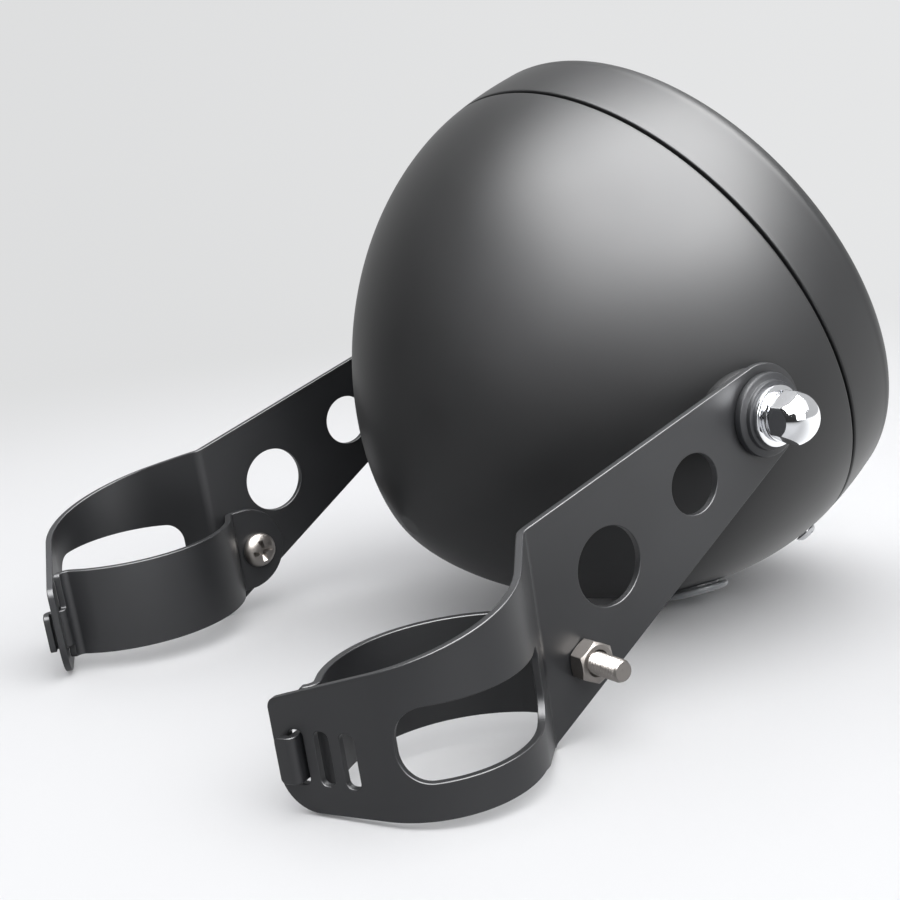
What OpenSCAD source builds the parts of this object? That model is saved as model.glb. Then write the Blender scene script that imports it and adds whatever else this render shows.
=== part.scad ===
/* [Shell] */
// Outer radius of the shell at the joint with the rim
shell_r = 87; // [80:0.5:95]
// Depth of the dome behind the joint
shell_depth = 101; // [92:0.5:112]
// Sheet thickness of the shell
shell_wall = 1.5; // [1:0.1:2.2]
// Fullness of the dome towards the joint
dome_front_power = 1.86; // [1.7:0.02:2.1]
// Fullness of the dome towards its back
dome_back_power = 1.49; // [1.4:0.01:1.7]
// Distance of the pivot axis behind the joint
pivot_back = 31.85; // [28:0.05:36]
// How far the boss of each pivot bolt reaches into the shell
boss_sink = 7.5; // [5:0.5:10]
// Radius of the flat boss around each pivot bolt
boss_r = 12.4; // [11:0.1:13.5]
// Angle of the beam axis above level, as the lamp lies
beam_rise = 27.3; // [20:0.1:35]

/* [Rim] */
// Depth of the rim in front of the joint
rim_depth = 26; // [24:0.5:32]
// Depth of the rim's nearly straight wall
rim_wall_depth = 18.5; // [14:0.5:20]
// How far the rim draws in over that wall
rim_draw = 1.2; // [0.4:0.1:3]
// Sheet thickness of the rim
rim_wall = 1.4; // [1:0.1:2]
// Width of the groove between shell and rim
joint_gap = 0.9; // [0.4:0.1:1.5]
// Length of the skirt that slides into the shell
skirt_len = 9; // [7:0.5:12]
// Width of the rim's lip over the lens
lip_cover = 4; // [3:0.25:6]
// Angle of each rim screw from the lowest point
rim_screw_angle = 33; // [20:1:50]
// Distance of the rim screws behind the joint
rim_screw_back = 5; // [4:0.1:6]
// Thread diameter of the rim screws
rim_screw_d = 4; // [3:0.5:5]

/* [Lens and reflector] */
// Distance of the lens edge inside the rim's largest radius
lens_inset = 8; // [7:0.25:12]
// Height of the curved lens face above its flange
lens_bulge = 13; // [8:0.5:20]
// Glass thickness
lens_wall = 3.2; // [2.5:0.1:4]
// Thickness of the lens flange
lens_flange = 3; // [2:0.1:4]
// Thickness of the seal behind the lens
gasket_t = 1.6; // [1:0.1:2.5]
// Depth of the reflector bowl
reflector_depth = 60; // [50:1:66]
// Sheet thickness of the reflector
reflector_wall = 1.2; // [1:0.1:1.6]
// Radius of the collar that holds the bulb
collar_r = 20; // [19:0.25:23]
// Length of the bulb collar
collar_len = 7; // [5:0.5:9]
// Thickness of the ring that clamps lens and reflector
ring_t = 2.2; // [1.6:0.1:3]

/* [Bulb] */
// Radius of the glass of the bulb
bulb_r = 8; // [7:0.25:9]
// Length of the bulb glass in front of its plate
bulb_len = 46; // [40:1:52]
// Radius of the locating plate
bulb_plate_r = 17.5; // [16:0.25:18.5]
// Radius of the cap behind the plate
bulb_cap_r = 10; // [9:0.25:12]
// Length of the cap behind the plate
bulb_cap_len = 12; // [10:0.5:15]
// Length of the plug body on the three blades
plug_len = 15; // [12:0.5:18]

/* [Cable outlet] */
// Radius of the hole through the grommet
outlet_r = 5; // [4:0.25:6]
// Radius of the grommet lips
grommet_r = 10; // [9:0.25:12]
// Distance of the outlet behind the joint
outlet_back = 39; // [36:0.5:44]
// Angle of the outlet from the lowest point
outlet_angle = 22; // [20:0.5:30]

/* [Bracket plate] */
// How far the plate's outer face stands outside the rim's largest radius
plate_stand = 0.2; // [0.1:0.1:3]
// Sheet thickness of the bracket
plate_t = 2; // [1.6:0.1:2.4]
// Radius of the rounded end at the pivot
plate_end_r = 14; // [13.4:0.1:16]
// Distance of the bend line behind the pivot
bend_back = 86.5; // [80:0.5:95]
// Height of the bend line's top below the pivot
bend_top = 7; // [2:0.5:12]
// Height of the bend line's foot below the pivot
bend_foot = 65; // [62:0.5:70]
// Diameter of the small lightening hole
small_hole_d = 16.6; // [12:0.2:18]
// Distance of the small hole behind the pivot
small_hole_back = 28.3; // [25.8:0.1:32]
// Depth of the small hole below the pivot
small_hole_down = 11.8; // [9:0.1:15]
// Diameter of the large lightening hole
large_hole_d = 21; // [16:0.2:24]
// Distance of the large hole behind the pivot
large_hole_back = 60.8; // [55:0.2:65]
// Depth of the large hole below the pivot
large_hole_down = 24.3; // [21:0.2:28]
// Lean of the fork axis from upright, as the lamp lies
fork_lean = 4.5; // [0:0.1:8]

/* [Fork band] */
// Angle of the bend out of the plate
bend_angle = 48; // [42:0.5:54]
// Inner radius of that bend
bend_r = 2.5; // [2:0.1:4]
// Straight run between the bend and the curve
band_run = 15.8; // [12:0.1:20]
// Outer radius of the curve around the fork
band_r = 26.5; // [24:0.5:30]
// Angle of the tail past the rearmost line of the curve
tail_angle = 65; // [58:0.5:70]
// Length of the straight tail
tail_len = 28.6; // [26:0.1:32]
// Fall of the upper edge over the whole band
edge_fall = 24.3; // [20:0.1:26]
// Depth of the lower edge below the bend's top
band_drop = 53; // [51:0.5:56]
// Radius of the tail's upper corner
tail_top_r = 3; // [2:0.5:7]
// Radius of the tail's lower corner
tail_foot_r = 10; // [6:0.5:12]

/* [Window and slots] */
// Depth of the window's upper edge below the bend's top
window_top = 24.5; // [23:0.1:27]
// Height of the window
window_h = 19; // [16:0.2:21]
// Start of the window behind the bend line
window_start = 7; // [5:0.5:10]
// Corner radius of the window
window_r = 8; // [5:0.25:8.5]
// Distance of the window's end from the start of the tail
window_end = 5; // [3:0.25:8]
// Number of adjusting slots
slot_count = 3; // [2:1:3]
// Distance of the last slot's centre from the tail's end
slot_end = 6.7; // [5.5:0.1:8]
// Distance from slot to slot
slot_pitch = 7.1; // [6.5:0.1:7.5]
// Width of a slot
slot_w = 4; // [3.4:0.1:4.4]
// Height of a slot
slot_h = 14; // [13.5:0.1:16]

/* [Hook strap] */
// Sheet thickness of the strap
strap_t = 2; // [1.6:0.1:2.2]
// Width of the strap
strap_w = 27.5; // [24:0.5:30]
// How far the strap's middle lies above the clamp screw
strap_rise = 1; // [0:0.1:3]
// Radius of the strap's bow
strap_r = 36; // [34:0.5:42]
// Angle of the strap's straight end, out from the rearward line
reach_angle = 48; // [38:1:52]
// Length of the strap's straight end
reach_len = 9; // [8:0.5:12]
// Rise of the strap towards its hook
strap_tilt = 1.8; // [0:0.1:2.5]
// Distance of the round ear's centre behind the clamp screw
ear_shift = 3.9; // [2:0.1:5]
// Play of the tongue in its slot, over the height
tongue_play = 2; // [0.8:0.1:2.5]
// Clear space between the band and the tongue's tip
tip_gap = 1; // [0.6:0.1:2.5]
// Distance of the tongue's tip from the end of the band
tip_short = 2.4; // [0.5:0.1:4]
// Centre-line radius of the bend beside the ear
fold_r = 2.4; // [1.6:0.1:3]
// Centre-line radius of the bend in front of the slot
hook_r = 3; // [2:0.1:3.4]

/* [Clamp screw] */
// Thread diameter
clamp_d = 6; // [5:0.5:7]
// Distance of the screw in front of the bend line
clamp_fore = 13.7; // [13:0.1:16]
// Depth of the screw below the bend's top
clamp_drop = 38.5; // [37:0.1:41]
// Diameter of the pan head
pan_d = 11.6; // [10.5:0.1:12]
// Height of the pan head
pan_h = 3.6; // [3:0.1:4.5]
// Width of the nut across its flats
clamp_nut_af = 10; // [9:0.5:11]
// Height of the nut
clamp_nut_h = 5; // [4:0.1:6]
// Thread that stands out past the nut
clamp_tail = 9.3; // [6:0.1:12]

/* [Pivot hardware] */
// Thread diameter of the pivot bolt
bolt_d = 8; // [7:0.5:9]
// Width of the bolt head across its flats
bolt_head_af = 13; // [12:0.5:14]
// Height of the bolt head
bolt_head_h = 5.3; // [4:0.1:6]
// Thickness of the bush flange between shell and plate
inner_flange_t = 2.4; // [2:0.1:3]
// Radius of the bush neck in the plate
neck_r = 8; // [7:0.1:9]
// Radius of the outer bush
bush_r = 11.7; // [11:0.1:13]
// Thickness of the outer bush
bush_t = 3.8; // [3:0.1:5]
// Radius of the flat washer
washer_r = 8.4; // [8:0.1:9]
// Thickness of the flat washer
washer_t = 1.5; // [1:0.1:2]
// Radius of the spring washer
spring_r = 7; // [6.6:0.1:7.4]
// Thickness of the spring washer
spring_t = 2; // [1.6:0.1:2.4]
// Width of the acorn nut across its flats
acorn_af = 13; // [12:0.5:14]
// Height of the acorn nut's corners below its dome
acorn_hex_h = 4.2; // [3.5:0.1:5.5]
// Height of the whole acorn nut
acorn_h = 10; // [9.5:0.1:13]

/* [Clearances] */
// Radial clearance of a thread or shank in its hole
thread_fit = 0.05; // [0.02:0.01:0.1]
// Radial clearance of a fixed screw in a plain hole
hole_fit = 0.25; // [0.1:0.05:0.4]
// Radial running clearance of the bush neck in the plate
pivot_fit = 0.06; // [0.03:0.01:0.1]
// Space between faces that are clamped together
face_gap = 0.1; // [0.05:0.01:0.2]
// Space between the skirt and the shell
skirt_fit = 0.3; // [0.2:0.05:0.4]

/* [Hidden] */
// Smoothness of round bodies and of small round parts
$fn = 96;
small_fn = 48;
// Number of steps along the dome and along bent sheet
dome_steps = 26;
curve_steps = 28;
fold_steps = 6;
// Overshoot of a cut past the faces it opens
over = 1;

black_paint = [0.07, 0.07, 0.075];
black_rubber = [0.05, 0.05, 0.05];
chrome = [0.82, 0.83, 0.85];
steel = [0.55, 0.55, 0.54];

// Radius of the dome at a depth behind the joint, for a given mouth radius and depth
function dome_r(mouth, depth, back) =
    mouth * pow(1 - pow(min(back / depth, 1), dome_front_power), 1 / dome_back_power);

// Profile of the dome from the joint to its back, closely spaced where it curves most
function dome_profile(mouth, depth) = [
    for (i = [0 : dome_steps])
        let (back = depth * sin(90 * i / dome_steps))
            [dome_r(mouth, depth, back), -back]
];

// Unit vector and left-hand normal of a step from a to b
function unit(a, b) = (b - a) / norm(b - a);
function left(d) = [-d[1], d[0]];

// A polyline whose inner corners are rounded with one radius, each as a short arc
function corner(a, b, c, r) =
    let (
        d0 = unit(a, b),
        d1 = unit(b, c),
        turn = atan2(d0[0] * d1[1] - d0[1] * d1[0], d0 * d1),
        cut = r * tan(abs(turn) / 2),
        side = turn > 0 ? 1 : -1,
        centre = b - d0 * cut + left(d0) * r * side
    ) [
        for (i = [0 : fold_steps])
            let (phi = turn * i / fold_steps)
                centre - side * r * (left(d0) * cos(phi) - d0 * sin(phi))
    ];
function rounded(pts, r) = concat(
    [pts[0]],
    [for (i = [1 : len(pts) - 2]) each corner(pts[i - 1], pts[i], pts[i + 1], r)],
    [pts[len(pts) - 1]]
);

// Points on an arc about a centre; angles run from the first axis
function arc(centre, r, from, to, steps) = [
    for (i = [0 : steps])
        let (a = from + (to - from) * i / steps)
            centre + r * [cos(a), sin(a)]
];

// Offset of a polyline to its left, with mitred corners
function shifted(pts, d) = [
    for (i = [0 : len(pts) - 1])
        let (
            before = i > 0 ? unit(pts[i - 1], pts[i]) : unit(pts[0], pts[1]),
            after = i < len(pts) - 1 ? unit(pts[i], pts[i + 1]) : before,
            mid = left(before) + left(after)
        )
            pts[i] + mid * d / (1 + before * after)
];

// Outline of a sheet of a given thickness along its centre line
function reversed(pts) = [for (i = [len(pts) - 1 : -1 : 0]) pts[i]];
function sheet_outline(pts, t) = concat(shifted(pts, t / 2), reversed(shifted(pts, -t / 2)));

// Running length along a polyline, one value for each point
function run_lengths(pts) = [
    for (i = 0, s = 0;
        i < len(pts);
        i = i + 1, s = s + (i < len(pts) ? norm(pts[i] - pts[i - 1]) : 0))
            s
];

// Band centre line in plan: first axis to the rear of the bend line, second axis outward
plate_x = shell_r + plate_stand;
mid_r = band_r - plate_t / 2;
bend_point = [0, -plate_t / 2];
bend_dir = [cos(bend_angle), sin(bend_angle)];
bend_mid_r = bend_r + plate_t / 2;
bend_cut = bend_mid_r * tan(bend_angle / 2);
curve_start = bend_point + bend_dir * (bend_cut + band_run);
curve_centre = curve_start - left(bend_dir) * mid_r;
tail_dir = [cos(tail_angle), -sin(tail_angle)];
tail_out = left(tail_dir);
tail_start = curve_centre + tail_out * mid_r;
tail_tip = tail_start + tail_dir * tail_len;
plate_front = -bend_back - plate_end_r;
band_curve = arc(curve_centre, mid_r, 90 + bend_angle, 90 - tail_angle, curve_steps);
band_line = concat(
    [[plate_front - over, -plate_t / 2]],
    corner([plate_front, -plate_t / 2], bend_point, curve_start, bend_mid_r),
    band_curve,
    [tail_tip]
);

// Upper edge of the band, falling evenly with the length of the sheet
band_tail_part = [for (p = band_line) if (p[0] > 0) p];
band_runs = run_lengths(band_tail_part);
band_length = band_runs[len(band_runs) - 1];
function edge_z(s) = -bend_top - edge_fall * pow(s / band_length, 1.1);
band_top_edge = [
    for (i = [0 : len(band_tail_part) - 1])
        [band_tail_part[i][0], edge_z(band_runs[i])]
];
band_foot_z = -bend_top - band_drop;

// Slots, clamp screw and tongue share one height
clamp_z = -bend_top - clamp_drop;
clamp_u = -clamp_fore;
function slot_at(i) = tail_len - slot_end - i * slot_pitch;

// Strap centre line in the same plan
strap_mid = -plate_t - face_gap - strap_t / 2;
ear_r = strap_w / 2;
hook_out = plate_t / 2 + tip_gap + strap_t / 2;
function tail_point(along, out) = tail_start + tail_dir * along + tail_out * out;
hook_at = slot_at(0);
ear_bend = [clamp_u + pan_d / 2 + fold_r, strap_mid];
reach_dir = [cos(reach_angle), sin(reach_angle)];
hook_in = -plate_t / 2 - face_gap - strap_t / 2;
hook_lead = hook_r * tan((reach_angle + tail_angle) / 2) + strap_t / 2 + 0.2;
hook_corner = tail_point(hook_at - hook_lead, hook_in);
hook_foot = tail_point(hook_at, hook_in);
hook_turn = tail_point(hook_at, hook_out);
reach_from = hook_corner - reach_dir * reach_len;
bow_chord = reach_from - ear_bend;
bow_half = norm(bow_chord) / 2;
bow_centre = (ear_bend + reach_from) / 2
    + left(unit(ear_bend, reach_from)) * sqrt(strap_r * strap_r - bow_half * bow_half);
bow_a0 = atan2(ear_bend[1] - bow_centre[1], ear_bend[0] - bow_centre[0]);
bow_a1 = atan2(reach_from[1] - bow_centre[1], reach_from[0] - bow_centre[0]);
bow_line = arc(bow_centre, strap_r, bow_a0, bow_a1, curve_steps);
strap_line = concat(
    [[clamp_u + ear_shift - ear_r - over, strap_mid]],
    corner([clamp_u, strap_mid], ear_bend, bow_line[3], fold_r),
    [for (i = [3 : curve_steps]) bow_line[i]],
    corner(reach_from, hook_corner, hook_foot, hook_r),
    corner(hook_corner, hook_foot, hook_turn, strap_t / 2 + 0.05),
    corner(hook_foot, hook_turn, tail_point(tail_len, hook_out), strap_t / 2 + 0.2),
    [tail_point(tail_len - tip_short, hook_out)]
);

// Pivot stack, measured outward along the pivot axis
inner_face_x = plate_x - plate_t;
boss_x = inner_face_x - inner_flange_t - face_gap;
bolt_seat_x = dome_r(shell_r, shell_depth, pivot_back) - shell_wall - boss_sink;
outer_bush_x = plate_x + face_gap;
washer_x = outer_bush_x + bush_t;
spring_x = washer_x + washer_t;
acorn_x = spring_x + spring_t;
bolt_end_x = acorn_x + acorn_h - 3.4;
bolt_r = bolt_d / 2;

// Rim and optics, measured along the beam from the joint
skirt_r = shell_r - shell_wall - skirt_fit;
skirt_end_r = dome_r(shell_r - shell_wall, shell_depth - shell_wall, skirt_len) - skirt_fit;
lens_r = shell_r - lens_inset;
lens_open_r = lens_r - lip_cover;
ring_outer_r = lens_r + 1.4;
lip_z = rim_depth - rim_wall;
lens_back_z = lip_z - lens_flange;
gasket_back_z = lens_back_z - gasket_t;
reflector_face_z = gasket_back_z;
ring_z = reflector_face_z - reflector_wall - ring_t;
reflector_mouth_r = lens_open_r + 1;
reflector_focus = (pow(reflector_mouth_r, 2) - pow(collar_r, 2)) / (4 * reflector_depth);
reflector_neck_z = reflector_face_z - reflector_depth;
collar_z = reflector_neck_z - collar_len;
bulb_plate_t = 1.6;
bulb_plate_z = collar_z - bulb_plate_t;
bulb_cap_z = bulb_plate_z - bulb_cap_len;
blade_len = 8;
plug_z = bulb_cap_z - 1;
rim_seat_z = lens_back_z - 5;

// Placing: the lamp's own frame has its beam along Z and its lowest side along Y
module lamp_frame() {
    rotate([beam_rise - 90, 0, 0])
        translate([0, 0, pivot_back])
            children();
}

// A spot on the shell, at an angle from the lowest point and a distance behind the joint;
// the child's Z axis points straight out of the sheet
module shell_spot(angle, back) {
    r0 = dome_r(shell_r, shell_depth, back);
    step = 0.5;
    slope = atan2(
        dome_r(shell_r, shell_depth, back - step) - dome_r(shell_r, shell_depth, back + step),
        2 * step
    );
    lamp_frame()
        rotate([0, 0, 90 - angle])
            translate([r0, 0, -back])
                rotate([0, 90 + slope, 0])
                    children();
}

// Something on the right side, or its mirror image on the left
module on_side(side) {
    scale_x = side == "left" ? 1 : 0;
    mirror([scale_x, 0, 0])
        children();
}

// A cylinder along the pivot axis from one distance to another
module pivot_disc(r, x0, x1) {
    translate([x0, 0, 0])
        rotate([0, 90, 0])
            cylinder(r = r, h = x1 - x0);
}

module pivot_hex(af, x0, x1) {
    translate([x0, 0, 0])
        rotate([0, 90, 0])
            cylinder(r = af / 2 / cos(30), h = x1 - x0, $fn = 6);
}

module dome_solid(mouth, depth) {
    rotate_extrude()
        polygon(concat(dome_profile(mouth, depth), [[0, 0]]));
}

module bucket_shell() {
    color(black_paint)
    difference() {
        union() {
            lamp_frame()
                difference() {
                    dome_solid(shell_r, shell_depth);
                    translate([0, 0, -0.001])
                        dome_solid(shell_r - shell_wall, shell_depth - shell_wall);
                    cylinder(r = shell_r - shell_wall, h = over, center = true);
                }
            for (side = ["left", "right"])
                on_side(side)
                    pivot_disc(boss_r, bolt_seat_x, boss_x);
        }
        for (side = ["left", "right"])
            on_side(side) {
                pivot_disc(boss_r, boss_x, shell_r);
                pivot_disc(bolt_r + hole_fit, bolt_seat_x - over, boss_x + over);
            }
        shell_spot(outlet_angle, outlet_back)
            cylinder(r = outlet_r + 2.2, h = 12, center = true);
        for (a = [-rim_screw_angle, rim_screw_angle])
            shell_spot(a, rim_screw_back)
                cylinder(r = rim_screw_d / 2 + hole_fit, h = 12, center = true, $fn = small_fn);
    }
}

module trim_rim() {
    wall_r = shell_r - rim_draw;
    nose_r = lens_open_r + 1.2;
    skin = [
        [shell_r - 0.5, joint_gap],
        [shell_r, joint_gap + 0.6],
        for (i = [1 : 8])
            let (k = i / 8)
                [shell_r - rim_draw * k * k, joint_gap + 0.6 + (rim_wall_depth - joint_gap - 0.6) * k],
        for (i = [1 : 12])
            let (a = 90 * i / 12)
                [nose_r + (wall_r - nose_r) * cos(a), rim_wall_depth + (rim_depth - rim_wall_depth) * sin(a)],
        [lens_open_r, rim_depth - 0.5]
    ];
    color(black_paint)
    lamp_frame()
        difference() {
            rotate_extrude()
                polygon(concat(
                    skin,
                    [
                        [lens_open_r, lip_z],
                        [lens_r + 0.5, lip_z],
                        [lens_r + 0.5, reflector_face_z - reflector_wall],
                        [lens_r + 1.8, reflector_face_z - reflector_wall],
                        [lens_r + 1.8, rim_seat_z],
                        [skirt_r - rim_wall - 1, rim_seat_z - 5],
                        [skirt_r - rim_wall - 0.4, joint_gap],
                        [skirt_end_r - rim_wall, -skirt_len],
                        [skirt_end_r, -skirt_len],
                        [skirt_r, 0],
                        [skirt_r, joint_gap]
                    ]
                ));
            for (a = [-rim_screw_angle, rim_screw_angle])
                rotate([0, 0, 90 - a])
                    translate([skirt_r, 0, -rim_screw_back])
                        rotate([0, 90, 0])
                            cylinder(r = rim_screw_d / 2 + thread_fit, h = 8, center = true, $fn = small_fn);
        }
}

module lens_glass() {
    dome_radius = (pow(lens_open_r, 2) + pow(lens_bulge, 2)) / (2 * lens_bulge);
    centre_z = lip_z + lens_bulge - dome_radius;
    color([0.85, 0.9, 0.92])
    lamp_frame()
        rotate_extrude()
            polygon(concat(
                [
                    for (i = [0 : 14])
                        let (a = asin((lens_open_r - 0.4) / dome_radius) * i / 14)
                            [dome_radius * sin(a), centre_z + dome_radius * cos(a)]
                ],
                [
                    [lens_open_r - 0.4, lip_z - face_gap],
                    [lens_r, lip_z - face_gap],
                    [lens_r, lens_back_z + face_gap],
                    [lens_open_r - 2, lens_back_z + face_gap]
                ],
                [
                    for (i = [14 : -1 : 0])
                        let (
                            rr = dome_radius - lens_wall,
                            a = asin((lens_open_r - 4) / rr) * i / 14
                        )
                            [rr * sin(a), centre_z + rr * cos(a)]
                ]
            ));
}

module lens_gasket() {
    color(black_rubber)
    lamp_frame()
        translate([0, 0, gasket_back_z + face_gap])
            difference() {
                cylinder(r = lens_r, h = gasket_t - face_gap);
                translate([0, 0, -over])
                    cylinder(r = reflector_mouth_r, h = gasket_t + 2 * over);
            }
}

// Height of the bowl above its neck at a radius
function bowl_z(r) = reflector_neck_z + (pow(r, 2) - pow(collar_r, 2)) / (4 * reflector_focus);

module reflector() {
    steps = 16;
    bowl = [
        for (i = [0 : steps])
            let (r = collar_r + (reflector_mouth_r - collar_r) * i / steps)
                [r, bowl_z(r)]
    ];
    color([0.86, 0.87, 0.88])
    lamp_frame()
        rotate_extrude()
            polygon(concat(
                [[collar_r, collar_z]],
                bowl,
                [
                    [lens_r, reflector_face_z],
                    [lens_r, reflector_face_z - reflector_wall],
                    [reflector_mouth_r + reflector_wall * 0.8, reflector_face_z - reflector_wall]
                ],
                [
                    for (i = [steps - 1 : -1 : 1])
                        [bowl[i][0] + reflector_wall, bowl[i][1] - reflector_wall * 0.4]
                ],
                [[collar_r + reflector_wall, bowl_z(collar_r) - reflector_wall], [collar_r + reflector_wall, collar_z]]
            ));
}

module retaining_ring() {
    color(steel)
    lamp_frame()
        difference() {
            translate([0, 0, ring_z])
                cylinder(r = ring_outer_r, h = ring_t - face_gap);
            translate([0, 0, ring_z - over])
                cylinder(r = lens_r - 1.2, h = ring_t + 2 * over);
        }
}

module ring_screws() {
    color(steel)
    lamp_frame()
        for (a = [30, 150, 270])
            rotate([0, 0, a])
                translate([(ring_outer_r + lens_r - 1.2) / 2, 0, ring_z - 1.4])
                    cylinder(r = 1.3, h = 1.4 - 0.02, $fn = small_fn);
}

module bulb_glass() {
    color([0.9, 0.92, 0.93])
    lamp_frame()
        translate([0, 0, collar_z + 0.02])
            rotate_extrude()
                polygon(concat(
                    [[0, 0], [bulb_r, 0]],
                    [
                        for (i = [0 : 6])
                            let (a = 90 * i / 6)
                                [bulb_r * cos(a), bulb_len - bulb_r + bulb_r * sin(a)]
                    ]
                ));
}

module bulb_base() {
    color(steel)
    lamp_frame() {
        translate([0, 0, bulb_plate_z])
            cylinder(r = bulb_plate_r, h = bulb_plate_t - 0.02);
        translate([0, 0, bulb_cap_z])
            cylinder(r = bulb_cap_r, h = bulb_cap_len);
        for (a = [0, 90, 180])
            rotate([0, 0, a])
                translate([bulb_cap_r * 0.55, -3.2, bulb_cap_z - blade_len])
                    cube([0.8, 6.4, blade_len + 0.5]);
    }
}

module bulb_clip() {
    wire_r = 0.8;
    ring_r = (bulb_cap_r + bulb_plate_r) / 2;
    color(steel)
    lamp_frame()
        translate([0, 0, bulb_plate_z - wire_r - 0.02])
            rotate_extrude()
                translate([ring_r, 0])
                    circle(r = wire_r, $fn = 16);
}

module bulb_plug() {
    color(black_rubber)
    lamp_frame()
        difference() {
            translate([0, 0, plug_z - plug_len])
                cylinder(r = bulb_cap_r, h = plug_len - 0.02);
            for (a = [0, 90, 180])
                rotate([0, 0, a])
                    translate([bulb_cap_r * 0.55 - 0.1, -3.3, bulb_cap_z - blade_len - 0.2])
                        cube([1, 6.6, blade_len + 2]);
        }
}

module dust_boot() {
    inner = collar_r + reflector_wall + 0.05;
    skin = 1.8;
    color(black_rubber)
    lamp_frame()
        rotate_extrude()
            polygon([
                [inner, collar_z + collar_len - 3.5],
                [inner + skin, collar_z + collar_len - 3.5],
                [inner + skin, bulb_plate_z - 3],
                [bulb_cap_r + skin + 4, bulb_cap_z + 2],
                [bulb_cap_r + skin + 0.1, bulb_cap_z + 1],
                [bulb_cap_r + skin + 0.1, bulb_cap_z - 2.5],
                [bulb_cap_r + 0.1, bulb_cap_z - 2.5],
                [bulb_cap_r + 0.1, bulb_cap_z + 3.5],
                [bulb_cap_r + 5, bulb_cap_z + 4.5],
                [inner, bulb_plate_z - 2.2]
            ]);
}

module wire_grommet() {
    hole = outlet_r + 2.2;
    lip = 2.2;
    seat_in = shell_wall + 1.0;
    color(black_rubber)
    shell_spot(outlet_angle, outlet_back)
        difference() {
            union() {
                translate([0, 0, 0.35])
                    cylinder(r1 = grommet_r, r2 = grommet_r - 1.2, h = lip);
                translate([0, 0, -seat_in - lip])
                    cylinder(r1 = grommet_r - 1, r2 = grommet_r, h = lip);
                translate([0, 0, -seat_in - lip / 2])
                    cylinder(r = hole - thread_fit, h = seat_in + lip);
            }
            cylinder(r = outlet_r, h = 20, center = true);
        }
}

module rim_screw(angle) {
    head_r = rim_screw_d * 0.9;
    color(steel)
    lamp_frame()
        rotate([0, 0, 90 - angle])
            translate([0, 0, -rim_screw_back])
                rotate([0, 90, 0])
                    difference() {
                        union() {
                            translate([0, 0, shell_r + 0.05])
                                cylinder(r1 = head_r, r2 = head_r * 0.7, h = 1.8, $fn = small_fn);
                            translate([0, 0, skirt_r - rim_wall - 4])
                                cylinder(r = rim_screw_d / 2, h = shell_r - skirt_r + rim_wall + 4.5, $fn = small_fn);
                        }
                        translate([-head_r, -0.45, shell_r + 1.1])
                            cube([2 * head_r, 0.9, 2]);
                    }
}

module pivot_bolt() {
    color(steel)
    difference() {
        union() {
            pivot_hex(bolt_head_af, bolt_seat_x - bolt_head_h - 0.02, bolt_seat_x - 0.02);
            pivot_disc(bolt_r, bolt_seat_x - 1, bolt_end_x);
        }
    }
}

module inner_bush() {
    color(black_rubber)
    difference() {
        union() {
            pivot_disc(boss_r - 0.6, boss_x + 0.02, inner_face_x - face_gap);
            pivot_disc(neck_r - pivot_fit, boss_x + 0.02, plate_x);
        }
        pivot_disc(bolt_r + thread_fit, boss_x - over, plate_x + over);
    }
}

module outer_bush() {
    step_r = bush_r - 2;
    rim_t = bush_t * 0.62;
    color(black_rubber)
    difference() {
        union() {
            pivot_disc(bush_r, outer_bush_x, outer_bush_x + rim_t);
            pivot_disc(step_r, outer_bush_x, washer_x - 0.02);
        }
        pivot_disc(bolt_r + thread_fit, outer_bush_x - over, washer_x + over);
    }
}

module flat_washer() {
    color(chrome)
    difference() {
        pivot_disc(washer_r, washer_x, spring_x - 0.02);
        pivot_disc(bolt_r + thread_fit, washer_x - over, spring_x + over);
    }
}

module spring_washer() {
    color(chrome)
    difference() {
        pivot_disc(spring_r, spring_x, acorn_x - 0.02);
        pivot_disc(bolt_r + thread_fit, spring_x - over, acorn_x + over);
        translate([spring_x + spring_t / 2, 0, spring_r])
            rotate([30, 0, 0])
                cube([spring_t * 2, 0.8, spring_r * 1.4], center = true);
    }
}

module acorn_nut() {
    corner_r = acorn_af / 2 / cos(30);
    ball_r = corner_r * 1.04;
    corner_lift = sqrt(1 - pow(corner_r / ball_r, 2));
    dome_h = (acorn_h - acorn_hex_h) / (1 - corner_lift);
    foot = acorn_h - dome_h;
    color(chrome)
    difference() {
        intersection() {
            pivot_hex(acorn_af, acorn_x, acorn_x + acorn_h);
            translate([acorn_x, 0, 0])
                rotate([0, 90, 0])
                    rotate_extrude()
                        polygon(concat(
                            [[0, 0], [acorn_af / 2 * 0.96, 0], [ball_r, (ball_r - acorn_af / 2 * 0.96) * 0.6]],
                            [
                                for (i = [0 : 12])
                                    let (a = 90 * i / 12)
                                        [ball_r * cos(a), foot + dome_h * sin(a)]
                            ]
                        ));
        }
        pivot_disc(bolt_r + thread_fit, acorn_x - over, bolt_end_x + 0.4);
    }
}

// Placing of everything on the bracket: its own frame has the fork axis along Z
module bracket_frame() {
    rotate([fork_lean, 0, 0])
        children();
}

// From the plan of the bend (rear, outward) to the bracket's frame
module from_plan(z0, h) {
    translate([plate_x, -bend_back, z0])
        mirror([1, -1, 0])
            mirror([1, 0, 0])
                linear_extrude(height = h)
                    children();
}

// A prism across the whole sheet, drawn in side view (forward of the pivot, up)
module side_prism(x0, x1) {
    translate([x0, 0, 0])
        rotate([90, 0, 90])
            linear_extrude(height = x1 - x0)
                children();
}

// A cutter that stands square on the tail of the band; its child lies along the tail and up
module tail_cut(along, depth_in, depth_out) {
    spot = tail_point(along, -depth_in);
    translate([plate_x + spot[1], -bend_back - spot[0], 0])
        rotate([0, 0, -tail_angle])
            rotate([90, 0, 90])
                linear_extrude(height = depth_in + depth_out)
                    mirror([1, 0])
                        children();
}

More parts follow.
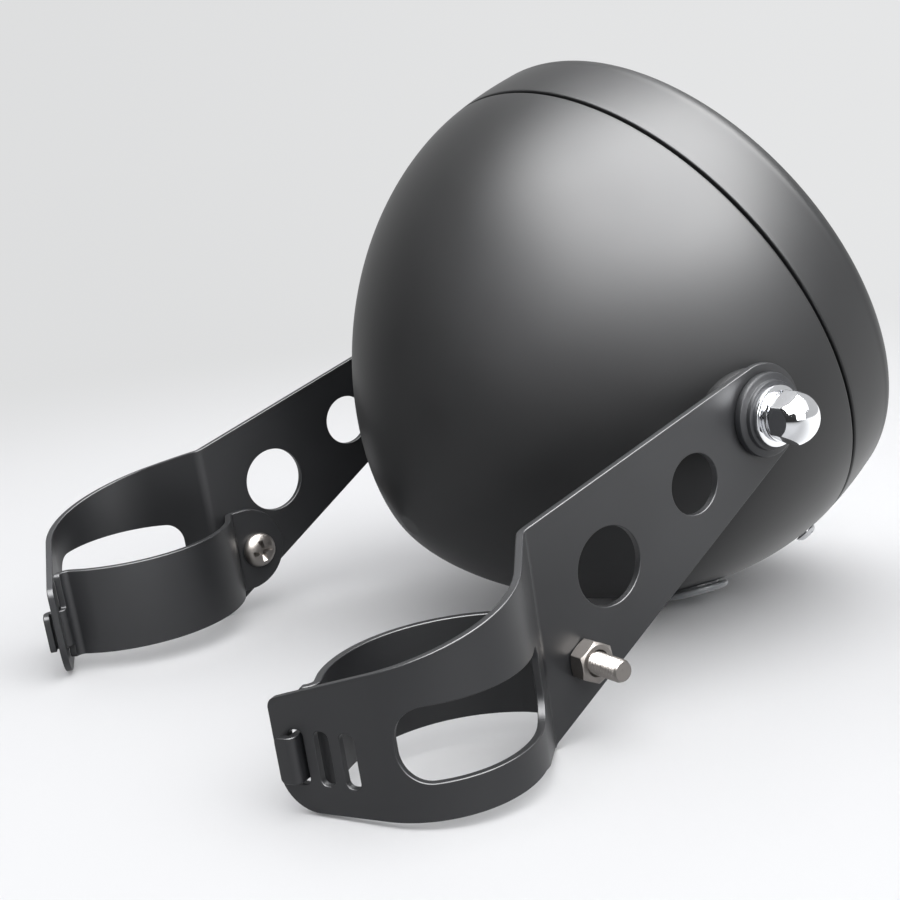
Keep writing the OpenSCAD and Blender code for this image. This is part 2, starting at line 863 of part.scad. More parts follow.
// A round-ended slot standing upright
module upright_slot(w, h) {
    rounded_box_2d(-w / 2, w / 2, -h / 2, h / 2, w * 0.4);
}

// The outline of plate and band in side view
module side_outline() {
    k1 = [-bend_back, -bend_top];
    k2 = [-bend_back, -bend_foot];
    a1 = atan2(k1[1], k1[0]) - acos(plate_end_r / norm(k1));
    a2 = atan2(k2[1], k2[0]) + acos(plate_end_r / norm(k2));
    far_u = tail_tip[0] + plate_t + over;
    circle(r = plate_end_r);
    polygon(concat(
        [plate_end_r * [cos(a1), sin(a1)]],
        [for (p = band_top_edge) [-bend_back - p[0], p[1]]],
        [
            [-bend_back - far_u, -bend_top - edge_fall - 1],
            [-bend_back - far_u, band_foot_z],
            [-bend_back - curve_start[0] - 4, band_foot_z],
            k2,
            plate_end_r * [cos(a2), sin(a2)]
        ]
    ));
}

module rounded_box_2d(x0, x1, z0, z1, r) {
    translate([x0, z0 + r])
        square([x1 - x0, z1 - z0 - 2 * r]);
    translate([x0 + r, z0])
        square([x1 - x0 - 2 * r, z1 - z0]);
    for (x = [x0 + r, x1 - r], z = [z0 + r, z1 - r])
        translate([x, z])
            circle(r = r, $fn = small_fn);
}

// The window is cut in two strokes, each square to its stretch of the band; their
// round corners end beyond the middle, where the other stroke has already cut
module window_cut() {
    z1 = -bend_top - window_top;
    z0 = z1 - window_h;
    front_r = window_r * 0.6;
    split_u = curve_centre[0];
    side_prism(plate_x - 6, plate_x + curve_centre[1] + band_r + over)
        rounded_box_2d(
            -bend_back - split_u - front_r - over,
            -bend_back - window_start, z0, z1, front_r
        );
    end_angle = tail_angle - 18;
    end_out = [sin(end_angle), cos(end_angle)];
    spot = curve_centre + end_out * (mid_r - 16);
    reach = 16 + plate_t + over;
    end_along = mid_r * sin(18 - window_end / mid_r * 57.3);
    start_along = -mid_r * sin(end_angle) - window_r - over;
    translate([plate_x + spot[1], -bend_back - spot[0], 0])
        rotate([0, 0, -end_angle])
            rotate([90, 0, 90])
                linear_extrude(height = reach)
                    mirror([1, 0])
                        rounded_box_2d(start_along, end_along, z0, z1, window_r);
}

// What rounds off one corner of the tail
module corner_waste(r, up) {
    mirror([0, up > 0 ? 0 : 1])
        translate([-r, -r])
            difference() {
                square([r + 3, r + 3]);
                circle(r = r, $fn = small_fn);
            }
}

module bracket_sheet() {
    difference() {
        intersection() {
            from_plan(-bend_foot - over, bend_foot + plate_end_r + 2 * over)
                polygon(sheet_outline(band_line, plate_t));
            side_prism(plate_x - 2 * band_r, plate_x + 2 * band_r)
                side_outline();
        }
        side_prism(plate_x - 6, plate_x + 6)
            circle(r = neck_r);
        side_prism(plate_x - 6, plate_x + 6)
            translate([-small_hole_back, -small_hole_down])
                circle(r = small_hole_d / 2);
        side_prism(plate_x - 6, plate_x + 6)
            translate([-large_hole_back, -large_hole_down])
                circle(r = large_hole_d / 2);
        side_prism(plate_x - 6, plate_x + 6)
            translate([-bend_back - clamp_u, clamp_z])
                circle(r = clamp_d / 2 + hole_fit, $fn = small_fn);
        window_cut();
        for (i = [0 : slot_count - 1])
            tail_cut(slot_at(i), 5, 5)
                translate([0, clamp_z])
                    upright_slot(slot_w, slot_h);
        tail_cut(tail_len, 5, 5)
            translate([0, edge_z(band_length)])
                corner_waste(tail_top_r, 1);
        tail_cut(tail_len, 5, 5)
            translate([0, band_foot_z])
                corner_waste(tail_foot_r, -1);
    }
}

module bracket() {
    color([0.16, 0.17, 0.19])
    bracket_frame()
        bracket_sheet();
}

module hook_strap() {
    strap_z = clamp_z + strap_rise;
    tongue_h = slot_h - tongue_play;
    color([0.16, 0.17, 0.19])
    bracket_frame()
        difference() {
            intersection() {
                from_plan(clamp_z - strap_w, 2 * strap_w)
                    polygon(sheet_outline(strap_line, strap_t));
                side_prism(plate_x - 2 * strap_r, plate_x + strap_r) {
                    translate([-bend_back - clamp_u - ear_shift, strap_z])
                        rotate(-strap_tilt) {
                            circle(r = ear_r);
                            translate([-2 * tail_tip[0], -strap_w / 2])
                                square([2 * tail_tip[0], strap_w]);
                        }
                }
            }
            side_prism(plate_x - 6, plate_x + 6)
                translate([-bend_back - clamp_u, clamp_z])
                    circle(r = clamp_d / 2 + hole_fit, $fn = small_fn);
            for (z = [clamp_z + tongue_h / 2, clamp_z - tongue_h / 2 - strap_w])
                tail_cut(hook_at - strap_t / 2 - 0.4, plate_t / 2 + face_gap + strap_t + 0.2, 3 * strap_t + tip_gap)
                    translate([0, z])
                        square([slot_end + 6, strap_w]);
        }
}

// A cross recess, as two crossing cuts that narrow with depth
module cross_recess(r, depth) {
    for (a = [0, 90])
        rotate([0, 0, a])
            translate([-r, -0.55, -depth])
                cube([2 * r, 1.1, depth + over]);
}

module clamp_screw() {
    head_x = plate_x - plate_t - face_gap - strap_t - 0.02;
    end_x = plate_x + 0.3 + clamp_nut_h + clamp_tail;
    color(steel)
    bracket_frame()
        translate([head_x, -bend_back - clamp_u, clamp_z])
            rotate([0, 90, 0])
                difference() {
                    union() {
                        rotate_extrude($fn = small_fn)
                            polygon(concat(
                                [[0, 0], [pan_d / 2, 0]],
                                [
                                    for (i = [1 : 7])
                                        let (a = 90 * i / 7)
                                            [pan_d / 2 * (0.35 + 0.65 * cos(a)), -0.9 - (pan_h - 0.9) * sin(a)]
                                ],
                                [[0, -pan_h]]
                            ));
                        translate([0, 0, -0.5])
                            cylinder(r = clamp_d / 2, h = end_x - head_x + 0.5, $fn = small_fn);
                    }
                    translate([0, 0, -pan_h])
                        mirror([0, 0, 1])
                            cross_recess(pan_d * 0.27, 1.9);
                }
}

module clamp_nut() {
    color(steel)
    bracket_frame()
        translate([plate_x + 0.05, -bend_back - clamp_u, clamp_z])
            rotate([0, 90, 0])
                difference() {
                    intersection() {
                        cylinder(r = clamp_nut_af / 2 / cos(30), h = clamp_nut_h, $fn = 6);
                        cylinder(r1 = clamp_nut_af / 2 * 1.03, r2 = clamp_nut_af / 2 * 1.03 + clamp_nut_h * 1.6, h = clamp_nut_h);
                        cylinder(r1 = clamp_nut_af / 2 * 1.03 + clamp_nut_h * 1.6, r2 = clamp_nut_af / 2 * 1.03, h = clamp_nut_h);
                    }
                    translate([0, 0, -over])
                        cylinder(r = clamp_d / 2 + thread_fit, h = clamp_nut_h + 2 * over, $fn = small_fn);
                }
}

bucket_shell();
trim_rim();
lens_glass();
lens_gasket();
reflector();
retaining_ring();
ring_screws();
bulb_glass();
bulb_base();
bulb_clip();
bulb_plug();
dust_boot();
wire_grommet();
rim_screw(-rim_screw_angle);  // left_rim_screw
rim_screw(rim_screw_angle);  // right_rim_screw
on_side("left") pivot_bolt();  // left_pivot_bolt
on_side("right") pivot_bolt();  // right_pivot_bolt
on_side("left") inner_bush();  // left_inner_bush
on_side("right") inner_bush();  // right_inner_bush
on_side("left") outer_bush();  // left_outer_bush
on_side("right") outer_bush();  // right_outer_bush
on_side("left") flat_washer();  // left_flat_washer
on_side("right") flat_washer();  // right_flat_washer
on_side("left") spring_washer();  // left_spring_washer
on_side("right") spring_washer();  // right_spring_washer
on_side("left") acorn_nut();  // left_acorn_nut
on_side("right") acorn_nut();  // right_acorn_nut
on_side("left") bracket();  // left_bracket
on_side("right") bracket();  // right_bracket
on_side("left") hook_strap();  // left_hook_strap
on_side("right") hook_strap();  // right_hook_strap
on_side("left") clamp_screw();  // left_clamp_screw
on_side("right") clamp_screw();  // right_clamp_screw
on_side("left") clamp_nut();  // left_clamp_nut
on_side("right") clamp_nut();  // right_clamp_nut
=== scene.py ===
import math

import bpy
import bmesh
import numpy as np
from mathutils import Matrix, Vector
from mathutils.geometry import delaunay_2d_cdt


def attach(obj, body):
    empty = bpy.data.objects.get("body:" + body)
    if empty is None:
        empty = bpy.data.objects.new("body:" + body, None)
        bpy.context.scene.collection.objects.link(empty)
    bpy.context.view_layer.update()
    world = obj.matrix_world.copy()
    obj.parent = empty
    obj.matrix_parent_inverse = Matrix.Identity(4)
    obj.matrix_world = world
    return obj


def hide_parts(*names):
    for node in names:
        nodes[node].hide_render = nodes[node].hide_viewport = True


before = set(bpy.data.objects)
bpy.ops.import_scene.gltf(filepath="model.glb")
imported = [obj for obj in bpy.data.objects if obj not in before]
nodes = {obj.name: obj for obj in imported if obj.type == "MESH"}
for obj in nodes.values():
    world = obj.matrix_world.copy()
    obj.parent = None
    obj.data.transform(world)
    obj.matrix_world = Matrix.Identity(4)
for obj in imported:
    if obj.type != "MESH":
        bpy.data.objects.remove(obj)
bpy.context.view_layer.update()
scene = bpy.context.scene
MM = 0.001


def linked(name, data):
    """A new object in the scene."""
    ob = bpy.data.objects.new(name, data)
    scene.collection.objects.link(ob)
    return ob


# sizes, in mm, as in part.scad

SHELL_R, SHELL_DEPTH, SHELL_WALL = 87.0, 101.0, 1.5
DOME_FRONT, DOME_BACK = 1.86, 1.49
PIVOT_BACK, BEAM_RISE = 31.85, 27.3
BOSS_R, BOSS_SINK, FLANGE_T, GAP = 12.4, 7.5, 2.4, 0.1
GROMMET_ANGLE, GROMMET_BACK, GROMMET_HOLE_R = 22.0, 39.0, 7.2
RIM_SCREW_ANGLE, RIM_SCREW_BACK = 33.0, 5.0
RIM_DEPTH, RIM_WALL_DEPTH, RIM_DRAW, JOINT_GAP = 26.0, 18.5, 1.2, 0.9
LENS_R, LENS_OPEN_R, LIP_Z, LENS_BULGE = 79.0, 75.0, 24.6, 13.0
LENS_WALL, LENS_BACK_Z, FLUTE_PITCH, FLUTE_DEPTH = 3.2, 21.7, 7.5, 0.32
PLATE_X, PLATE_T, PLATE_END_R = 87.2, 2.0, 14.0
BEND_BACK, BEND_TOP, BEND_FOOT = 86.5, 7.0, 65.0
FORK_LEAN = 4.5
EDGE_FALL, EDGE_RUN, EDGE_POWER, BAND_FOOT = 24.3, 96.06, 1.1, -60.0
FOOT_RUN, FOOT_RISE = 15.6, 5.0
BAND_ANGLE, BAND_BEND_R, BAND_LEAD, BAND_R = 48.0, 3.5, 15.8, 25.5
TAIL_ANGLE, TAIL_LEN = 25.0, 28.6
PIVOT_HOLE_R, CLAMP_HOLE_R = 8.0, 3.25
SMALL_HOLE, LARGE_HOLE = (28.3, -11.8, 8.3), (60.8, -24.3, 10.5)
WINDOW_DROP, WINDOW_H, WINDOW_FROM, WINDOW_TO = 24.5, 19.0, 7.0, 62.46
SLOT_W, SLOT_H, SLOT_END, SLOT_PITCH = 4.0, 14.0, 6.7, 7.1
CLAMP_U, CLAMP_Z, CLAMP_HEAD_R = -13.7, -45.5, 5.8
STRAP_T, STRAP_W, STRAP_MIDDLE = 2.0, 27.5, -44.5
EAR_SHIFT, EAR_BEND_R, STRAP_R = 3.9, 2.4, 36.0
REACH_ANGLE, REACH_LEN, REACH_BEND_R, STRAP_TILT = 48.0, 9.0, 3.0, 1.8
HOOK_AT, HOOK_STOP, TONGUE_LEN, TONGUE_W = 21.9, 2.4, 9.83, 12.0
EDGE_ROUND = 0.32
SCREW_TURN = 6.0
FLOOR_Z = -72.2

# camera

cam_data = bpy.data.cameras.new("camera")
cam = linked("camera", cam_data)
scene.camera = cam
right = Vector((0.58436, 0.80659, -0.08905))
up = Vector((-0.11418, 0.19037, 0.97505))
forward = Vector((-0.80342, 0.55962, -0.20334))
spot = Vector((0.38926, -0.31528, 0.08690))
basis = Matrix((right, up, -forward)).transposed().to_4x4()
cam.matrix_world = Matrix.Translation(spot) @ basis
cam_data.sensor_width = 36
cam_data.lens = 64.23
cam_data.clip_start = 0.01
cam_data.clip_end = 50

scene.view_settings.view_transform = "Standard"


# material helpers

def new_material(name):
    mat = bpy.data.materials.new(name)
    mat.use_nodes = True
    tree = mat.node_tree
    return mat, tree, tree.nodes["Principled BSDF"]


def add(tree, kind, **values):
    """A node with its sockets set by name."""
    node = tree.nodes.new("ShaderNode" + kind)
    for key, value in values.items():
        socket = node.inputs.get(key.replace("_", " "))
        if socket is not None:
            socket.default_value = value
        else:
            setattr(node, key, value)
    return node


def noise(tree, scale, detail=4.0, roughness=0.5):
    place = tree.nodes.get("Place") or tree.nodes.new("ShaderNodeTexCoord")
    place.name = "Place"
    tex = add(tree, "TexNoise", Scale=scale, Detail=detail, Roughness=roughness)
    tree.links.new(place.outputs["Object"], tex.inputs["Vector"])
    return tex


def spread(tree, source, lo, hi, to_lo, to_hi, kind="LINEAR"):
    """Maps a range of one value onto another."""
    node = add(tree, "MapRange", interpolation_type=kind,
               From_Min=lo, From_Max=hi, To_Min=to_lo, To_Max=to_hi)
    tree.links.new(source, node.inputs["Value"])
    return node.outputs["Result"]


def worked_out(tree, operation, *sources):
    """A Math node on sockets or plain numbers."""
    node = add(tree, "Math", operation=operation)
    for socket, source in zip(node.inputs, sources):
        if isinstance(source, float):
            socket.default_value = source
        else:
            tree.links.new(source, socket)
    return node.outputs[0]


def blended(tree, factor, first, second):
    """Two shaders mixed by a factor."""
    node = tree.nodes.new("ShaderNodeMixShader")
    for socket, source in zip(node.inputs, (factor, first.outputs[0], second.outputs[0])):
        tree.links.new(source, socket)
    return node


def ramp(tree, source, stops):
    node = tree.nodes.new("ShaderNodeValToRGB")
    for stop in stops[2:]:
        node.color_ramp.elements.new(0.5)
    for element, (at, color) in zip(node.color_ramp.elements, stops):
        element.position = at
        element.color = (*color, 1)
    tree.links.new(source, node.inputs["Fac"])
    return node.outputs["Color"]


def bump(tree, bsdf, layers):
    """Stacked bump layers, each (height output, strength, distance in mm)."""
    last = None
    for height, strength, depth in layers:
        node = add(tree, "Bump", Strength=strength, Distance=depth * MM)
        tree.links.new(height, node.inputs["Height"])
        if last:
            tree.links.new(last, node.inputs["Normal"])
        last = node.outputs["Normal"]
    tree.links.new(last, bsdf.inputs["Normal"])


# materials

def satin_paint(name, dark, light, rough, gloss, peel):
    """Baked satin black over sheet metal: faint orange peel, cloudy gloss, fine dust."""
    mat, tree, bsdf = new_material(name)
    clouds = noise(tree, 14, 3, 0.55).outputs["Fac"]
    dust = noise(tree, 900, 2, 0.6).outputs["Fac"]
    tint = ramp(tree, clouds, [(0.3, dark), (0.7, light)])
    tree.links.new(tint, bsdf.inputs["Base Color"])
    tree.links.new(spread(tree, clouds, 0.25, 0.75, rough - 0.06, rough + 0.06), bsdf.inputs["Roughness"])
    bsdf.inputs["Specular IOR Level"].default_value = gloss
    fine = noise(tree, 1500, 2, 0.5).outputs["Fac"]
    peeled = noise(tree, 420, 1, 0.4).outputs["Fac"]
    bump(tree, bsdf, [(peeled, peel, 0.05), (fine, peel * 0.6, 0.02), (dust, 0.05, 0.01)])
    return mat


def polished(name, base, rough, scratch):
    """Plated or stainless metal with fine handling marks."""
    mat, tree, bsdf = new_material(name)
    bsdf.inputs["Metallic"].default_value = 1.0
    clouds = noise(tree, 160, 4, 0.6).outputs["Fac"]
    fine = noise(tree, 2600, 3, 0.7).outputs["Fac"]
    tint = ramp(tree, clouds, [(0.3, tuple(c * 0.92 for c in base)), (0.7, base)])
    tree.links.new(tint, bsdf.inputs["Base Color"])
    tree.links.new(spread(tree, fine, 0.3, 0.7, rough * 0.8, rough * 1.3), bsdf.inputs["Roughness"])
    bump(tree, bsdf, [(fine, scratch, 0.01)])
    return mat


def rubber(name, dark, light, rough, grain):
    mat, tree, bsdf = new_material(name)
    clouds = noise(tree, 120, 4, 0.6).outputs["Fac"]
    fine = noise(tree, 1800, 4, 0.7).outputs["Fac"]
    tree.links.new(ramp(tree, clouds, [(0.3, dark), (0.7, light)]), bsdf.inputs["Base Color"])
    tree.links.new(spread(tree, fine, 0.3, 0.7, rough - 0.06, rough + 0.08), bsdf.inputs["Roughness"])
    bsdf.inputs["Specular IOR Level"].default_value = 0.28
    bump(tree, bsdf, [(fine, grain, 0.04)])
    return mat


def clear_glass(name, tint, ripple):
    mat, tree, bsdf = new_material(name)
    bsdf.inputs["Base Color"].default_value = (*tint, 1)
    bsdf.inputs["Transmission Weight"].default_value = 1.0
    bsdf.inputs["IOR"].default_value = 1.5
    smear = noise(tree, 60, 3, 0.5).outputs["Fac"]
    tree.links.new(spread(tree, smear, 0.3, 0.7, 0.01, 0.05), bsdf.inputs["Roughness"])
    bump(tree, bsdf, [(noise(tree, 220, 2, 0.4).outputs["Fac"], ripple, 0.05)])
    return mat


paint = satin_paint("satin_black", (0.0040, 0.0043, 0.0050), (0.0062, 0.0065, 0.0074), 0.47, 0.30, 0.10)
bracket_paint = satin_paint(
    "bracket_black", (0.0055, 0.0060, 0.0076), (0.0085, 0.0092, 0.0114), 0.42, 0.40, 0.07)
chrome = polished("bright_chrome", (0.72, 0.73, 0.75), 0.07, 0.03)
steel = polished("stainless", (0.19, 0.178, 0.168), 0.34, 0.05)
dark_steel = polished("dark_zinc", (0.32, 0.325, 0.335), 0.38, 0.2)
mirror = polished("mirror_coat", (0.93, 0.93, 0.94), 0.03, 0.01)
black_rubber = rubber("black_rubber", (0.013, 0.014, 0.016), (0.020, 0.021, 0.024), 0.42, 0.12)
# The grommet's grey base colour stands in for the pale floor reflected in its glossy lip: painted
# reflection.
reflection_grey_vinyl = rubber("reflection_grey_vinyl", (0.20, 0.21, 0.22), (0.27, 0.28, 0.29), 0.38, 0.08)
lens_clear = clear_glass("lens_clear", (0.97, 0.99, 0.99), 0.04)
bulb_clear = clear_glass("bulb_clear", (0.99, 0.99, 1.0), 0.01)


# placing

LAMP = Matrix.Rotation(math.radians(BEAM_RISE - 90), 4, "X") @ Matrix.Translation((0, 0, PIVOT_BACK))
PIVOT = Matrix(((0, 0, 1, 0), (1, 0, 0, 0), (0, 1, 0, 0), (0, 0, 0, 1)))
BRACKET = Matrix.Rotation(math.radians(FORK_LEAN), 4, "X")
CLAMP = BRACKET @ Matrix.Translation((0, -BEND_BACK - CLAMP_U, CLAMP_Z)) @ PIVOT
MIRROR = Matrix.Scale(-1, 4, (1, 0, 0))
SIDES = ("left", "right")


def on_side(side, place):
    return MIRROR @ place if side == "left" else place


def add_piece(name, me, material, body, replaced):
    """Links a mesh as a piece that rides on a body and stands for CAD nodes."""
    me.materials.append(material)
    ob = linked(name, me)
    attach(ob, body)
    if replaced:
        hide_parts(*replaced)
    return ob


def smooth(me, sharp):
    """Smooth shading with hard edges from an angle in degrees."""
    me.polygons.foreach_set("use_smooth", [True] * len(me.polygons))
    me.set_sharp_from_angle(angle=math.radians(sharp))


def mesh_of(name, verts, faces, place, sharp=35, normals=None):
    """A smooth mesh from points in mm; a mirroring place turns the faces over."""
    flip = place.determinant() < 0
    me = bpy.data.meshes.new(name)
    points = [tuple((place @ Vector(v)) * MM) for v in verts]
    loops = [tuple(reversed(f)) for f in faces] if flip else faces
    me.from_pydata(points, [], loops)
    me.validate()
    me.update()
    smooth(me, sharp if normals is None else 180)
    if normals is not None:
        turn = place.to_3x3()
        me.normals_split_custom_set_from_vertices([tuple((turn @ Vector(n)).normalized()) for n in normals])
    return me


def ring_of(r, z, segs):
    """Points of a circle about Z."""
    return [(r * math.cos(a), r * math.sin(a), z) for a in [math.tau * i / segs for i in range(segs)]]


def revolve(profile, segs=96, closed=True):
    """Points (r, z) turned about Z. A closed profile runs with its inside on the left."""
    verts, rings, faces = [], [], []
    for r, z in profile:
        if r < 1e-6:
            rings.append([len(verts)])
            verts.append((0, 0, z))
            continue
        rings.append(list(range(len(verts), len(verts) + segs)))
        verts += ring_of(r, z, segs)
    pairs = list(zip(rings, rings[1:] + rings[:1])) if closed else list(zip(rings, rings[1:]))
    for low, high in pairs:
        if len(low) == 1 and len(high) == 1:
            continue
        for i in range(segs):
            j = (i + 1) % segs
            if len(low) == 1:
                faces.append((low[0], high[j], high[i]))
            elif len(high) == 1:
                faces.append((low[i], low[j], high[0]))
            else:
                faces.append((low[i], low[j], high[j], high[i]))
    return verts, faces


def arc(cx, cy, r, a0, a1, steps):
    """Points on an arc, angles in degrees."""
    return [
        (cx + r * math.cos(a), cy + r * math.sin(a))
        for a in [math.radians(a0 + (a1 - a0) * i / steps) for i in range(steps + 1)]
    ]


def rounded(points, r, steps=4):
    """A closed outline with every corner rounded, or one radius for each corner."""
    radii = r if isinstance(r, (list, tuple)) else [r] * len(points)
    out = []
    for i, here in enumerate(points):
        if radii[i] <= 0:
            out.append(here)
            continue
        p = Vector(here)
        a = (Vector(points[i - 1]) - p)
        b = (Vector(points[(i + 1) % len(points)]) - p)
        angle = a.angle(b)
        reach = min(radii[i] / math.tan(angle / 2), a.length * 0.49, b.length * 0.49)
        true_r = reach * math.tan(angle / 2)
        centre = p + (a.normalized() + b.normalized()).normalized() * (true_r / math.sin(angle / 2))
        start, end = p + a.normalized() * reach - centre, p + b.normalized() * reach - centre
        turn = start.angle_signed(end)
        for k in range(steps + 1):
            c, s = math.cos(-turn * k / steps), math.sin(-turn * k / steps)
            out.append((centre.x + start.x * c - start.y * s, centre.y + start.x * s + start.y * c))
    return out


def joined(parts):
    """Several (verts, faces) as one."""
    verts, faces = [], []
    for v, f in parts:
        base = len(verts)
        verts += v
        faces += [tuple(i + base for i in face) for face in f]
    return verts, faces


# shell

def dome_r(back, mouth=SHELL_R, depth=SHELL_DEPTH):
    k = min(max(back / depth, 0.0), 1.0)
    return mouth * (1 - k ** DOME_FRONT) ** (1 / DOME_BACK)


def dome_normal(r, z):
    """Outward direction (r, z) of the dome's skin at a point on it."""
    e = 0.05
    back = -z
    if back > SHELL_DEPTH - 0.4:
        return Vector((r / SHELL_R * 0.3, -1)).normalized()
    slope = (dome_r(back - e) - dome_r(back + e)) / (2 * e)
    return Vector((1, -slope)).normalized()


def build_shell():
    backs = [SHELL_DEPTH * math.sin(math.radians(90 * i / 72)) for i in range(1, 73)]
    outer = [(dome_r(back), -back) for back in backs]
    inner_mouth, inner_depth = SHELL_R - SHELL_WALL, SHELL_DEPTH - SHELL_WALL
    inner = [(dome_r(inner_depth * math.sin(math.radians(90 * i / 40)), inner_mouth, inner_depth),
              -inner_depth * math.sin(math.radians(90 * i / 40))) for i in range(40, 0, -1)]
    mouth = [(inner_mouth, -0.35), (inner_mouth + 0.35, 0), (SHELL_R - 0.75, 0),
             (SHELL_R - 0.32, -0.1), (SHELL_R - 0.1, -0.32), (dome_r(0.75), -0.75)]
    profile = mouth + [p for p in outer if p[1] < -1.2] + inner[:-1]
    verts, faces = revolve(list(reversed(profile)), 256)
    me = mesh_of("shell_skin", verts, faces, LAMP)
    body = linked("shell_skin", me)
    seat = dome_r(PIVOT_BACK) - SHELL_WALL - BOSS_SINK
    boss_x = PLATE_X - PLATE_T - FLANGE_T - GAP
    for side in SIDES:
        ring = [(4.25, seat), (BOSS_R, seat), (BOSS_R, boss_x - 0.5), (BOSS_R - 0.15, boss_x - 0.15),
                (BOSS_R - 0.5, boss_x), (4.25, boss_x)]
        cut_with(body, mesh_of("boss", *revolve(ring, 96), on_side(side, PIVOT)), "UNION")
    hole = [(0, -6), (GROMMET_HOLE_R, -6), (GROMMET_HOLE_R, 6), (0, 6)]
    place = LAMP @ shell_spot(GROMMET_ANGLE, GROMMET_BACK)
    cut_with(body, mesh_of("hole", *revolve(hole, 64, closed=False), place), "DIFFERENCE")
    me = taken(body)
    fit_dome_normals(me)
    add_piece("shell", me, paint, "lamp", ["bucket_shell"])


def cut_with(body, tool_mesh, operation):
    """One exact boolean, applied at once."""
    tool = linked("tool", tool_mesh)
    cut = body.modifiers.new("cut", "BOOLEAN")
    cut.operation = operation
    cut.solver = "EXACT"
    cut.object = tool
    bpy.context.view_layer.update()
    result = bpy.data.meshes.new_from_object(body.evaluated_get(bpy.context.evaluated_depsgraph_get()))
    body.modifiers.clear()
    body.data = result
    bpy.data.objects.remove(tool)


def cut_block(body, ends, place):
    """Cuts out a block between two ends, each (height, half length, half width)."""
    verts = []
    for z, x, y in ends:
        verts += [(-x, -y, z), (x, -y, z), (x, y, z), (-x, y, z)]
    faces = [(3, 2, 1, 0), (4, 5, 6, 7)] + [(i, (i + 1) % 4, (i + 1) % 4 + 4, i + 4) for i in range(4)]
    cut_with(body, mesh_of("block", verts, faces, place), "DIFFERENCE")


def taken(ob):
    """An object's mesh, with the object gone."""
    me = ob.data.copy()
    bpy.data.objects.remove(ob)
    return me


def face_outwards(me, fill=False):
    bm = bmesh.new()
    bm.from_mesh(me)
    if fill:
        bmesh.ops.holes_fill(bm, edges=bm.edges[:])
    bmesh.ops.recalc_face_normals(bm, faces=bm.faces)
    bm.to_mesh(me)
    bm.free()


def shell_spot(angle, back):
    """A place on the shell whose Z points straight out of the sheet."""
    n = dome_normal(dome_r(back), -back)
    tilt = math.atan2(n.x, n.y)
    return (Matrix.Rotation(math.radians(90 - angle), 4, "Z")
            @ Matrix.Translation((dome_r(back), 0, -back))
            @ Matrix.Rotation(tilt, 4, "Y"))


def fit_dome_normals(me):
    """Gives corners on the dome's outer skin its true normal, and smooths the rest by angle."""
    smooth(me, 35)
    back_to_lamp = LAMP.inverted()
    turn = LAMP.to_3x3()
    true = {}
    for v in me.vertices:
        q = back_to_lamp @ (v.co / MM)
        r = math.hypot(q.x, q.y)
        if -SHELL_DEPTH <= q.z < -0.7 and abs(r - dome_r(-q.z)) < 0.06:
            n = dome_normal(r, q.z)
            out = n.x / max(r, 1e-6)
            true[v.index] = turn @ Vector((q.x * out, q.y * out, n.y)).normalized()
    normals = [Vector(n.vector) for n in me.corner_normals]
    for poly in me.polygons:
        for loop in poly.loop_indices:
            fit = true.get(me.loops[loop].vertex_index)
            if fit is not None and fit.dot(poly.normal) > 0.94:
                normals[loop] = fit
    me.normals_split_custom_set(normals)


build_shell()


# rim, lens and what lies behind it

def build_rim():
    wall_r = SHELL_R - RIM_DRAW
    nose_r = LENS_OPEN_R + 1.2
    top = JOINT_GAP + 0.6
    skin = [(SHELL_R - 1.5 + 0.1, JOINT_GAP)]
    skin += [(SHELL_R - 0.75 + 0.75 * math.sin(a), JOINT_GAP + 0.6 - 0.6 * math.cos(a))
             for a in [math.radians(90 * i / 6) for i in range(7)]]
    skin += [(SHELL_R - RIM_DRAW * (i / 16) ** 2, top + (RIM_WALL_DEPTH - top) * i / 16)
             for i in range(1, 17)]
    nose = [(nose_r + (wall_r - nose_r) * math.cos(a),
             RIM_WALL_DEPTH + (RIM_DEPTH - RIM_WALL_DEPTH) * math.sin(a))
            for a in [math.radians(90 * i / 24) for i in range(1, 25)]]
    lip = [(LENS_OPEN_R + 0.45, RIM_DEPTH - 0.12), (LENS_OPEN_R + 0.1, RIM_DEPTH - 0.45),
           (LENS_OPEN_R, RIM_DEPTH - 0.9), (LENS_OPEN_R, LIP_Z), (LENS_R + 0.5, LIP_Z), (LENS_R + 0.5, 15.5),
           (wall_r - 1.4, 14.0), (SHELL_R - 3.2, JOINT_GAP), (81.0, -9.0), (82.3, -9.0),
           (85.1, 0.0), (85.2, JOINT_GAP)]
    verts, faces = revolve(skin + nose + lip, 256)
    me = mesh_of("rim", verts, faces, LAMP, 32)
    add_piece("rim", me, paint, "lamp", ["trim_rim"])


